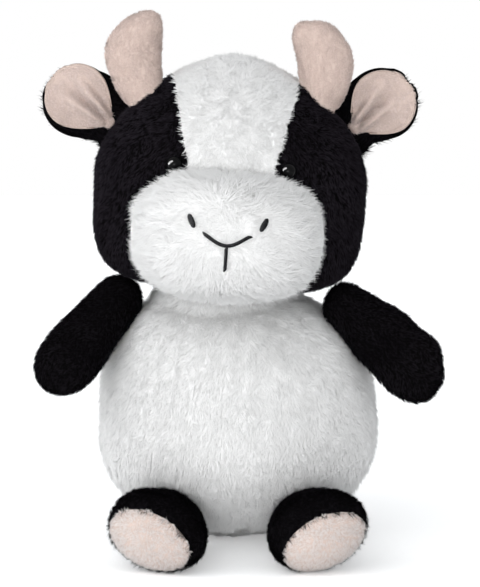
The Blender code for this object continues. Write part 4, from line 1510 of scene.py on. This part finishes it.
@dataclass
class Embroidery(Maker):
    """Nostrils, mouth and lip line in satin stitch, laid into the muzzle's pile."""

    nostril_out: float = 15.2 * MM
    nostril_up: float = 7.5 * MM
    nostril_half_height: float = 2.5 * MM
    nostril_half_width: float = 1.35 * MM
    nostril_lean: float = math.radians(18)
    nostril_stitches: int = 9
    mouth_half_width: float = 9.8 * MM
    mouth_end: float = 2.5 * MM
    mouth_dip: float = 1.9 * MM
    mouth_point: float = 1.2
    mouth_stitch: float = 0.8 * MM
    lip_length: float = 9.6 * MM
    lip_gap: float = 0.9 * MM
    lip_stitch: float = 0.7 * MM
    slant: float = math.radians(32)
    yarn: float = 0.5 * MM
    lift: float = 0.35 * MM

    def mouth_line(self, count: int = 33) -> list[Vector]:
        """Points along the smile, in the muzzle's frame.

        Args:
            count: How many.

        Returns:
            The points from left to right.
        """
        points = []
        for k in range(count):
            share = 2 * k / (count - 1) - 1
            bow = math.cos(share * math.pi / 2) ** self.mouth_point
            up = self.mouth_end - (self.mouth_dip + self.mouth_end) * bow
            across = share * self.mouth_half_width
            points.append(MUZZLE.egg.front_point(across, up, self.lift))
        return points

    def lip_line(self, count: int = 17) -> list[Vector]:
        """Points down the short line under the smile, in the muzzle's frame.

        Args:
            count: How many.

        Returns:
            The points from the top down.
        """
        start = self.mouth_dip + self.lip_gap
        step = self.lip_length / (count - 1)
        return [MUZZLE.egg.front_point(0, -start - step * k, self.lift) for k in range(count)]

    def nostril_point(self, side: Side, rise: float) -> Vector:
        """A point of a nostril's leaning middle line, in the muzzle's frame.

        Args:
            side: Which nostril.
            rise: Height above the nostril's middle.

        Returns:
            The point.
        """
        across = self.nostril_out + rise * math.sin(self.nostril_lean)
        up = self.nostril_up + rise
        return MUZZLE.egg.front_point(side.value * across, up, self.lift)

    def crop(self, roots: Points) -> Points:
        """Share of the pile's length that is left near the stitching.

        Args:
            roots: The tufts' roots.

        Returns:
            One share for each root.
        """
        places = self.mouth_line() + self.lip_line()
        for side in Side:
            for share in (-0.7, 0, 0.7):
                places.append(self.nostril_point(side, share * self.nostril_half_height))
        near = np.full(len(roots), np.inf)
        for place in places:
            away = np.linalg.norm(roots - np.array(MUZZLE.frame @ place), axis=1)
            near = np.minimum(near, away)
        return np.interp(near, (3.5 * MM, 9 * MM, 22 * MM), (0.42, 0.66, 1.0))

    def stitch(self, node: str, marks: Sequence[tuple[Vector, Vector, float]]) -> None:
        """Lay stitches side by side.

        Args:
            node: The node that they stand for.
            marks: Middle, direction and half length of each stitch.
        """
        bm = bmesh.new()
        for middle, along, half in marks:
            frame = MUZZLE.frame @ aim(middle, along, Vector((0, -1, 0)))
            size = Matrix.Diagonal((self.yarn, self.yarn, half + self.yarn, 1))
            bmesh.ops.create_uvsphere(
                bm, u_segments=10, v_segments=10, radius=1, matrix=frame @ size
            )
        obj = dress(make_object(node.replace("stitch", "yarn"), bm), YARN)
        self.hand_over(obj, "head", "black_thread", node)

    def row(self, points: Sequence[Vector], half: float) -> list[tuple[Vector, Vector, float]]:
        """Slanting stitches along a line.

        Args:
            points: The line.
            half: Half length of each stitch.

        Returns:
            One mark for each stitch.
        """
        turn = Matrix.Rotation(self.slant, 3, "Y")
        return [
            ((before + after) / 2, turn @ (after - before).normalized(), half)
            for before, after in zip(points, points[1:])
        ]

    def build(self) -> None:
        """Make the four stitched pieces."""
        self.stitch("mouth_stitch", self.row(self.mouth_line(), self.mouth_stitch))
        self.stitch("lip_stitch", self.row(self.lip_line(), self.lip_stitch))
        for side in Side:
            marks = []
            for k in range(self.nostril_stitches):
                share = 2 * k / (self.nostril_stitches - 1) - 1
                middle = self.nostril_point(side, share * self.nostril_half_height * 0.9)
                half = self.nostril_half_width * math.sqrt(1 - (share * 0.93) ** 2)
                way = Vector((1, side.value * 0.25, side.value * 0.45))
                marks.append((middle, way, half))
            self.stitch(f"{side.label}_nostril_stitch", marks)


@dataclass
class Muzzle(Maker):
    """The puffed muzzle, brushed outwards from the nose."""

    inset: float = 3.0 * MM
    wall: float = 0.6 * MM
    sides: int = 112
    rows: int = 72
    nose: Vector = Vector((0, -20 * MM, 2 * MM))

    def build(self, embroidery: Embroidery, clear: Sequence[Solid]) -> None:
        """Make the cover and its filling.

        Args:
            embroidery: What is stitched on it.
            clear: Bodies that it keeps clear of.
        """
        bm = form_surface(MUZZLE.egg, MUZZLE.frame, self.sides, self.rows, self.inset)
        lump(bm, 0.5 * MM, 20 * MM, "muzzle")
        face = HEAD.grown(-3 * MM)
        trim_inside(bm, face, 0.965)
        keep_clear(bm, clear)
        grain = Grain(Vector((0, 0.05, -0.12)), MUZZLE.frame @ self.nose, 1.0)
        self.cover(
            "muzzle_cover", "head", bm, MUZZLE_COAT, grain, [face, *clear], 0.9,
            embroidery.crop, self.wall,
        )
        bm = form_surface(MUZZLE.egg, MUZZLE.frame, 48, 32, self.inset + 1.2 * MM)
        keep_clear(bm, [HEAD.grown(0.4 * MM), *clear])
        self.stuff("muzzle_fill", "head", bm)


@dataclass
class Eye(Maker):
    """A domed bead on its ribbed shank."""

    side: Side
    out: float = 25.3 * MM
    up: float = 5 * MM
    radius: float = 3.5 * MM
    height: float = 3.5 * MM
    rim: float = 0.35 * MM
    sink: float = 1.9 * MM
    shank: float = 1.0 * MM
    shank_length: float = 7.5 * MM
    dome_steps: int = 14
    shank_ribs: int = 6
    sides: int = 36

    def crop(self, roots: Points) -> Points:
        """Share of the pile's length that is left round the bead.

        Args:
            roots: The tufts' roots.

        Returns:
            One share for each root.
        """
        away = np.linalg.norm(roots - np.array(self.frame().translation), axis=1)
        return np.interp(away, (self.radius, self.radius * 2.4), (0.7, 1.0))

    def frame(self) -> Matrix:
        """Frame on the face with +Z out of it."""
        egg = HEAD.egg
        point = egg.front_point(self.side.value * self.out, self.up)
        normal = Vector((
            point.x / egg.half_width ** 2, point.y / egg.front ** 2, point.z / egg.up ** 2
        ))
        return HEAD_FRAME @ aim(point, normal, Vector((0, 0, 1)))

    def room(self, spare: float) -> Solid:
        """The round room that pile and cloth leave to the bead, with some to spare."""
        return ball(self.frame() @ Vector((0, 0, -self.sink)), self.radius + spare)

    def build(self) -> None:
        """Turn the bead and its shank."""
        profile = [(0.0, self.height)]
        for k in range(1, self.dome_steps + 1):
            bend = math.pi / 2 * k / self.dome_steps
            profile.append((self.radius * math.sin(bend), self.height * math.cos(bend)))
        rim = self.rim
        profile += [(self.radius - rim * 0.3, -rim * 0.7), (self.radius - rim, -rim)]
        profile += [(self.shank * 1.4, -rim), (self.shank, -rim * 2)]
        end = self.sink - self.shank_length
        for k in range(self.shank_ribs):
            notch = 0.82 if k % 2 else 1.0
            profile.append((self.shank * notch, end * (0.35 + 0.13 * k)))
        profile += [(self.shank * 0.7, end), (0.0, end)]
        bm = bmesh.new()
        verts = [bm.verts.new((radius, 0, height - self.sink)) for radius, height in profile]
        edges = [bm.edges.new(pair) for pair in zip(verts, verts[1:])]
        bmesh.ops.spin(
            bm, geom=verts + edges, cent=(0, 0, 0), axis=(0, 0, 1), angle=math.tau,
            steps=self.sides, use_merge=True,
        )
        bmesh.ops.remove_doubles(bm, verts=bm.verts, dist=0.005 * MM)
        bmesh.ops.recalc_face_normals(bm, faces=bm.faces)
        bm.transform(self.frame())
        node = f"{self.side.label}_eye"
        bead = dress(make_object(f"{node}_bead", bm), EYE_GLOSS)
        bead.data.set_sharp_from_angle(angle=math.radians(50))
        self.hand_over(bead, "head", "eye_plastic", node)


@dataclass
class Horn(Maker):
    """A fat, blunt horn of short pile, sewn into the crown."""

    side: Side
    out: float = 34.9 * MM
    lean: float = math.radians(11)
    back: float = -4 * MM
    up: float = 27 * MM
    form: Limb = Limb(12 * MM, 13.2 * MM, 10.5 * MM, 45.5 * MM, 13 * MM, 8 * MM)
    inset: float = 0.8 * MM

    def build(self) -> None:
        """Make the cover and its filling."""
        origin = self.side.mirror(Vector((self.out, self.back, self.up)))
        along = self.side.mirror(Vector((math.sin(self.lean), 0, math.cos(self.lean))))
        frame = HEAD_FRAME @ aim(origin, along, Vector((self.side.value, 0, 0)))
        name = f"{self.side.label}_horn"
        bm = form_surface(self.form, frame, 72, 72, self.inset)
        lump(bm, 0.45 * MM, 15 * MM, name)
        trim_inside(bm, HEAD, 0.93)
        grain = Grain(HEAD_FRAME.to_3x3() @ along)
        self.cover(f"{name}_cover", "head", bm, VELOUR_COAT, grain, [HEAD], 0.95)
        bm = form_surface(self.form, frame, 40, 36, self.inset + 1.0 * MM)
        trim_inside(bm, HEAD, 0.95)
        bmesh.ops.holes_fill(bm, edges=bm.edges)
        bmesh.ops.recalc_face_normals(bm, faces=bm.faces)
        self.stuff(f"{name}_fill", "head", bm, 0.95)


@dataclass
class Ear(Maker):
    """A cupped ear: the black outer layer and the pale lining."""

    side: Side
    forward: float = math.radians(8)
    rise: float = math.radians(32)
    out: float = 53.4 * MM
    back: float = 15.5 * MM
    up: float = 17.4 * MM
    outer: Limb = Limb(
        12 * MM, 16 * MM, 1.5 * MM, 38 * MM, 15 * MM, cup=6 * MM, root_wall=3.4 * MM
    )
    lining: Limb = Limb(
        3 * MM, 14.6 * MM, 0.8 * MM, 32.2 * MM, 13.4 * MM, cup=5.0 * MM, root_wall=0.8 * MM,
        cup_start=6 * MM, waist=0.0,
    )
    outer_wall: float = 0.4 * MM
    lining_wall: float = 0.3 * MM
    lining_start: float = 6 * MM
    lining_tilt: float = math.radians(3)
    step: float = 4.4 * MM
    lining_rise: float = 2.2 * MM
    flare: float = 0.45
    crease: float = 1.8 * MM
    ridge: float = 3.4 * MM

    def frame(self) -> Matrix:
        """Frame in the root, with +Z to the tip and -Y to the front of the cup."""
        side, rise = self.side, self.rise
        direction = side.mirror(Vector((
            math.cos(rise) * math.cos(self.forward), -math.sin(self.forward), math.sin(rise)
        )))
        hint = Vector((math.sin(rise), 0, -side.value * math.cos(rise)))
        origin = side.mirror(Vector((self.out, self.back, self.up)))
        return HEAD_FRAME @ aim(origin, direction, hint)

    def socket(self, spare: float) -> Solid:
        """The slot in the head that holds the flat root, with some to spare."""
        reach = self.outer.root + spare
        wall = self.outer.root_wall + spare
        return Solid(self.frame(), Egg(reach, wall, wall, reach, reach))

    def widen(self, point: Vector) -> Vector:
        """Spread the upper edge of the outer layer's root towards the horn.

        Args:
            point: A point of the outer layer, in its own frame.

        Returns:
            The point, further up near the root.
        """
        if point.x * self.side.value < 0:
            share = 1 - min(1.0, max(0.0, point.z) / (self.outer.length - self.outer.cap))
            point.x *= 1 + self.flare * share
        return point

    def fold(self, point: Vector) -> Vector:
        """Press the soft fold into the lining, from its root to its middle.

        Args:
            point: A point of the lining, in its own frame.

        Returns:
            The point, further back in the fold and further ahead beside it.
        """
        along = min(1.0, max(0.0, point.z / (self.lining.length * 0.82)))
        spread = (0.8 + 1.1 * along) * MM
        hollow = math.sin(math.pi * along ** 0.7) if along < 1 else 0.0
        across = abs(-self.side.value * point.x - 1.5 * MM * along)
        point.y += self.crease * hollow * math.exp(-((across / spread) ** 2))
        beside = (across - spread * 2.6) / (spread * 1.5)
        point.y -= self.ridge * hollow * math.exp(-(beside ** 2))
        return point

    def fringe(self, frame: Matrix, roots: Points) -> Points:
        """Share of the black pile's length, longer along the ear's lower rim.

        Args:
            frame: The ear's place.
            roots: The tufts' roots.

        Returns:
            One share for each root.
        """
        lower = (roots - np.array(frame.translation)) @ np.array(frame.to_3x3().col[0])
        return np.interp(lower * self.side.value, (2 * MM, 13 * MM), (1.0, 1.6))

    def crop(self, frame: Matrix, roots: Points) -> Points:
        """Share of the nap's length that is left at the lining's tip.

        Args:
            frame: The lining's place.
            roots: The tufts' roots.

        Returns:
            One share for each root.
        """
        tip = np.array(frame @ Vector((0, 0, self.lining.length)))
        away = np.linalg.norm(roots - tip, axis=1)
        return np.interp(away, (2 * MM, 5 * MM), (0.25, 1.0))

    def build(self) -> None:
        """Make the outer layer and the lining."""
        frame = self.frame()
        body = f"{self.side.label}_ear"
        grain = Grain(frame.to_3x3() @ UP)
        bm = form_surface(self.outer, frame, 64, 48, 0.55 * MM, self.widen)
        self.cover(
            f"{body}_outer", body, bm, EAR_COAT, grain, crop=partial(self.fringe, frame),
            wall=self.outer_wall,
        )
        turn = -self.side.value * self.lining_rise / self.lining.length
        place = (
            frame @ (
                Matrix.Translation((0, -self.step, self.lining_start))
                @ Matrix.Rotation(-self.lining_tilt, 4, "X") @ Matrix.Rotation(turn, 4, "Y")
            )
        )
        bm = form_surface(self.lining, place, 112, 60, 0.15 * MM, self.fold)
        self.cover(
            f"{body}_lining", body, bm, LINING_COAT, grain, crop=partial(self.crop, place),
            wall=self.lining_wall,
        )


@dataclass
class Arm(Maker):
    """A black paddle arm and its filling."""

    side: Side
    shoulder: Vector = Vector((54.145 * MM, -10 * MM, 111.5 * MM))
    tip: Vector = Vector((74 * MM, -37 * MM, 86.5 * MM))
    roll: float = math.radians(45)
    root: float = 11.5 * MM
    half_width: float = 16 * MM
    half_thickness: float = 12 * MM
    cap: float = 19 * MM
    bow: float = 2 * MM
    inset: float = 1.3 * MM

    def socket(self, spare: float) -> Solid:
        """The room in the torso that holds the root."""
        return ball(self.side.mirror(self.shoulder), self.root + spare)

    def build(self) -> None:
        """Make the cover and its filling."""
        start = self.side.mirror(self.shoulder)
        reach = self.side.mirror(self.tip) - start
        frame = aim(start, reach, Vector((self.side.value, 0, 1)))
        frame = frame @ Matrix.Rotation(self.roll, 4, "Z")
        form = Limb(
            self.root, self.half_width, self.half_thickness, reach.length + self.cap,
            self.cap, self.bow, waist=0.0,
        )
        body = f"{self.side.label}_arm"
        bm = form_surface(form, frame, 72, 72, self.inset)
        lump(bm, 0.4 * MM, 18 * MM, body)
        self.cover(f"{body}_cover", body, bm, LIMB_COAT, Grain(reach.normalized()))
        bm = form_surface(form, frame, 40, 24, self.inset + 1.2 * MM)
        lump(bm, 0.25 * MM, 9 * MM, f"{body}_fill")
        self.stuff(f"{body}_fill", body, bm)


@dataclass
class Leg(Maker):
    """A black leg closed by a pale sole pad, flat where the foot rests."""

    side: Side
    hip: Vector = Vector((29 * MM, -42.418 * MM, 16.5 * MM))
    splay: float = math.radians(11)
    roll: float = math.radians(21)
    form: Limb = Limb(12.5 * MM, 22.8 * MM, 17 * MM, 46 * MM, 17 * MM, waist=0.0)
    sink: float = 0.5 * MM
    sole_depth: float = 8 * MM
    sole_tilt: float = math.radians(19)
    sole_turn: float = math.radians(9)
    seam_gap: float = 0.5 * MM
    inset: float = 1.3 * MM
    sole_inset: float = 0.8 * MM

    def socket(self, spare: float) -> Solid:
        """The room in the torso that holds the root."""
        return ball(self.side.mirror(self.hip), self.form.root + spare)

    def frame(self) -> Matrix:
        """Frame in the hip, with +Z to the sole, rolled so that its outer edge is higher."""
        form, side = self.form, self.side
        sine, cosine = math.sin(self.roll), math.cos(self.roll)
        reach = math.hypot(form.half_width * sine, form.half_thickness * cosine)
        fall = (self.hip.z - reach + self.sink) / (form.length - form.cap)
        way = side.mirror(Vector((math.sin(self.splay), -math.cos(self.splay), -fall)))
        return aim(side.mirror(self.hip), way, Vector((cosine, 0, side.value * sine)))

    def seam(self) -> Matrix:
        """Frame in the middle of the sole's seam, with +Z out of the sole."""
        sign = self.side.value
        return (
            self.frame() @ Matrix.Translation((0, 0, self.form.length - self.sole_depth))
            @ Matrix.Rotation(-sign * self.roll, 4, "Z")
            @ Matrix.Rotation(self.sole_tilt, 4, "X")
            @ Matrix.Rotation(sign * self.sole_turn, 4, "Y")
        )

    def fringe(self, middle: Vector, ahead: Vector, roots: Points) -> Points:
        """Share of the pile's length, longer where it overhangs the sole's seam.

        Args:
            middle: The middle of the seam.
            ahead: The way out of the sole.
            roots: The tufts' roots.

        Returns:
            One share for each root.
        """
        behind = (np.array(middle) - roots) @ np.array(ahead)
        return np.interp(behind, (2.5 * MM, 6 * MM), (1.7, 1.0))

    def surface(self, sides: int, rows: int, inset: float, lumps: float, height: float) -> BMesh:
        """The leg's form, resting on the floor.

        Args:
            sides: Faces round it.
            rows: Faces along it.
            inset: How far it is drawn in.
            lumps: How far the surface strays.
            height: How high above the floor it is flattened.

        Returns:
            The mesh in the row frame.
        """
        bm = form_surface(self.form, self.frame(), sides, rows, inset)
        if lumps:
            lump(bm, lumps, 18 * MM, f"{self.side.label}_leg")
        rest_on_floor(bm, height)
        return bm

    def build(self) -> None:
        """Make the cover, the sole pad and the filling."""
        body = f"{self.side.label}_leg"
        seam = self.seam()
        middle = seam.translation
        ahead = seam.to_3x3() @ UP
        half = self.seam_gap / 2
        bm = self.surface(88, 88, self.inset, 0.35 * MM, FLOOR_FILM)
        part_at(bm, middle - ahead * half, ahead)
        self.cover(
            f"{body}_cover", body, bm, LIMB_COAT, Grain(self.frame().to_3x3() @ UP),
            crop=partial(self.fringe, middle, ahead),
        )
        bm = self.surface(88, 88, self.sole_inset, 0.0, FLOOR_FILM)
        part_at(bm, middle + ahead * half, -ahead)
        outward = Grain(Vector((0, 0, -0.5)), middle, 0.8)
        self.cover(f"{self.side.label}_sole_pad", body, bm, SOLE_COAT, outward)
        bm = self.surface(40, 36, self.inset + 1.2 * MM, 0.0, 1.4 * MM)
        self.stuff(f"{body}_fill", body, bm)


# ---------------------------------------------------------------- studio


@dataclass
class Studio:
    """The pale floor, the soft light and the camera at the photograph's angle."""

    camera_place: Vector = Vector((1.1 * MM, -0.9, 205 * MM))
    pitch: float = math.radians(5.85)
    lens: float = 120.02
    film: float = 36.0
    middle: Vector = Vector((0, 0, 120 * MM))
    world_strength: float = 0.8
    sun_place: Vector = Vector((-0.7, -0.75, 1.15))
    sun_strength: float = 0.42
    front_place: Vector = Vector((-0.15, -1.5, 0.42))
    front_strength: float = 2.6
    low_place: Vector = Vector((-0.1, -1.3, 0.08))
    low_strength: float = 10.5
    window_place: Vector = Vector((-0.96, -0.42, 0.62))
    window_strength: float = 1.4
    glint_strength: float = 330.0
    floor_glow: float = 0.26
    far_glow: float = 0.4

    def camera(self) -> None:
        """Stand the camera where the photograph was taken from."""
        data = bpy.data.cameras.new("camera")
        data.lens = self.lens
        data.sensor_width = self.film
        data.clip_start = 0.05
        obj = bpy.data.objects.new("camera", data)
        obj.location = self.camera_place
        obj.rotation_euler = (math.pi / 2 - self.pitch, 0, 0)
        bpy.context.scene.collection.objects.link(obj)
        bpy.context.scene.camera = obj

    def lamp(
        self, name: str, kind: str, place: Vector, energy: float, size: float, tall: float = 1.0
    ) -> Object:
        """Add one lamp that is turned to the toy.

        Args:
            name: The lamp's name.
            kind: AREA or SUN.
            place: Where it stands.
            energy: Its strength.
            size: Its width, or a sun's angle.
            tall: An area lamp's height as a share of its width.

        Returns:
            The lamp.
        """
        data = bpy.data.lights.new(name, kind)
        data.energy = energy
        if kind == "SUN":
            data.angle = size
        else:
            data.shape = "RECTANGLE"
            data.size = size
            data.size_y = size * tall
        obj = bpy.data.objects.new(name, data)
        obj.matrix_world = aim(place, place - self.middle, Vector((1, 0, 0)))
        bpy.context.scene.collection.objects.link(obj)
        return obj

    def world(self) -> None:
        """A plain pale surround that the camera sees as white."""
        world = bpy.data.worlds.new("surround")
        world.use_nodes = True
        world.node_tree.nodes.clear()
        sheet = NodeSheet(world.node_tree)
        kind = "ShaderNodeBackground"
        soft = sheet.add(kind, Strength=self.world_strength, Color=(0.97, 0.985, 1.0))
        white = sheet.add(kind, Strength=1.0, Color=(1, 1, 1))
        either = sheet.add("ShaderNodeMixShader")
        sheet.add("ShaderNodeOutputWorld", Surface=either.outputs[0])
        for socket, value in zip(
            either.inputs, (sheet.backdrop_share(), soft.outputs[0], white.outputs[0])
        ):
            sheet.feed(socket, value)
        bpy.context.scene.world = world

    def floor(self) -> None:
        """A wide pale floor that keeps the toy's shadow; for the camera it also glows, less near
        the toy than far off, as painted light.
        """
        bm = bmesh.new()
        bmesh.ops.create_grid(bm, x_segments=8, y_segments=8, size=3.0)
        obj = make_object("studio_floor", bm)
        material = bpy.data.materials.new("studio_paper")
        material.use_nodes = True
        sheet = NodeSheet(material.node_tree)
        place = sheet.place()
        grain = sheet.noise(place, 300.0, 3.0)
        sheet.shade(
            Base_Color=sheet.mix(grain, (0.95, 0.955, 0.96), (0.97, 0.975, 0.98)),
            Roughness=0.9, Specular_IOR_Level=0.1,
        )
        away = sheet.add("ShaderNodeVectorMath", {"operation": "LENGTH"}, Vector=place)
        glow = sheet.spread(away.outputs["Value"], self.floor_glow, self.far_glow, 0.12, 0.7)
        strength = sheet.maths("MULTIPLY", sheet.backdrop_share(), glow)
        both = sheet.add("ShaderNodeAddShader")
        nodes = material.node_tree.nodes
        sheet.feed(both.inputs[0], nodes["Principled BSDF"].outputs[0])
        sheet.feed(both.inputs[1], sheet.add("ShaderNodeEmission", Strength=strength).outputs[0])
        sink = next(node for node in nodes if node.type == "OUTPUT_MATERIAL")
        sheet.feed(sink.inputs["Surface"], both.outputs[0])
        obj.data.materials.append(material)

    def build(self) -> None:
        """Set up camera, surround, lamps and floor."""
        bpy.context.scene.view_settings.view_transform = "Standard"
        self.camera()
        self.world()
        self.floor()
        self.lamp("soft_sun", "SUN", self.sun_place, self.sun_strength, math.radians(60))
        self.lamp("front_fill", "AREA", self.front_place, self.front_strength, 1.2)
        self.lamp("low_fill", "AREA", self.low_place, self.low_strength, 0.6)
        window = self.window_place
        self.lamp("window", "AREA", window, self.window_strength, 0.24, 0.42)
        glint = self.lamp("glint", "AREA", window, self.glint_strength, 1.7, 0.3)
        glint.visible_diffuse = False


def dress_kept(nodes: dict[str, Object]) -> None:
    """Dress the neck ring and the eye washers, whose own shape is right.

    Args:
        nodes: The frame's nodes by name.
    """
    dress(nodes["neck_seam_ring"], TAPE)
    for side in Side:
        dress(nodes[f"{side.label}_eye_washer"], WASHER_MATT)
    log.info("the neck ring and the eye washers keep their own shape")


def main() -> None:
    """Build the toy and its studio."""
    logging.basicConfig(level=logging.INFO, format="%(name)s: %(message)s")
    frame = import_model()
    Studio().build()
    left_arm = Arm(Side.LEFT)
    right_arm = Arm(
        Side.RIGHT, Vector((49.111 * MM, -16 * MM, 108.5 * MM)),
        Vector((75.5 * MM, -32 * MM, 83.5 * MM)), roll=0.0,
    )
    legs = [Leg(Side.LEFT), Leg(Side.RIGHT, sole_tilt=math.radians(25))]
    left_ear = Ear(Side.LEFT)
    right_ear = Ear(
        Side.RIGHT, math.radians(24), math.radians(44), up=21.9 * MM, lining_rise=0.0, flare=0.2
    )
    eyes = [Eye(side) for side in Side]
    tail = Tail()
    spare = 0.8 * MM
    sockets = [limb.socket(spare) for limb in (left_arm, right_arm, *legs)]
    sockets.append(ball(tail.root, tail.tube.root + spare))
    Torso().build(sockets)
    tail.build()
    rooms = [eye.room(0.5 * MM) for eye in eyes]
    neck_room = ball(NECK, DOME_RADIUS + 4 * MM)
    Head().build(
        [neck_room, left_ear.socket(spare), right_ear.socket(spare), *rooms],
        [MUZZLE.grown(-7 * MM)], lambda roots: np.minimum(*(eye.crop(roots) for eye in eyes)),
    )
    embroidery = Embroidery()
    Muzzle().build(embroidery, [neck_room, *rooms])
    right_horn = Horn(Side.RIGHT, 31.9 * MM, math.radians(0.5))
    for part in (
        embroidery, *eyes, Horn(Side.LEFT), right_horn, left_ear, right_ear, left_arm,
        right_arm, *legs,
    ):
        part.build()
    dress_kept(frame["nodes"])
    bpy.context.view_layer.update()


if __name__ == "__main__":
    main()
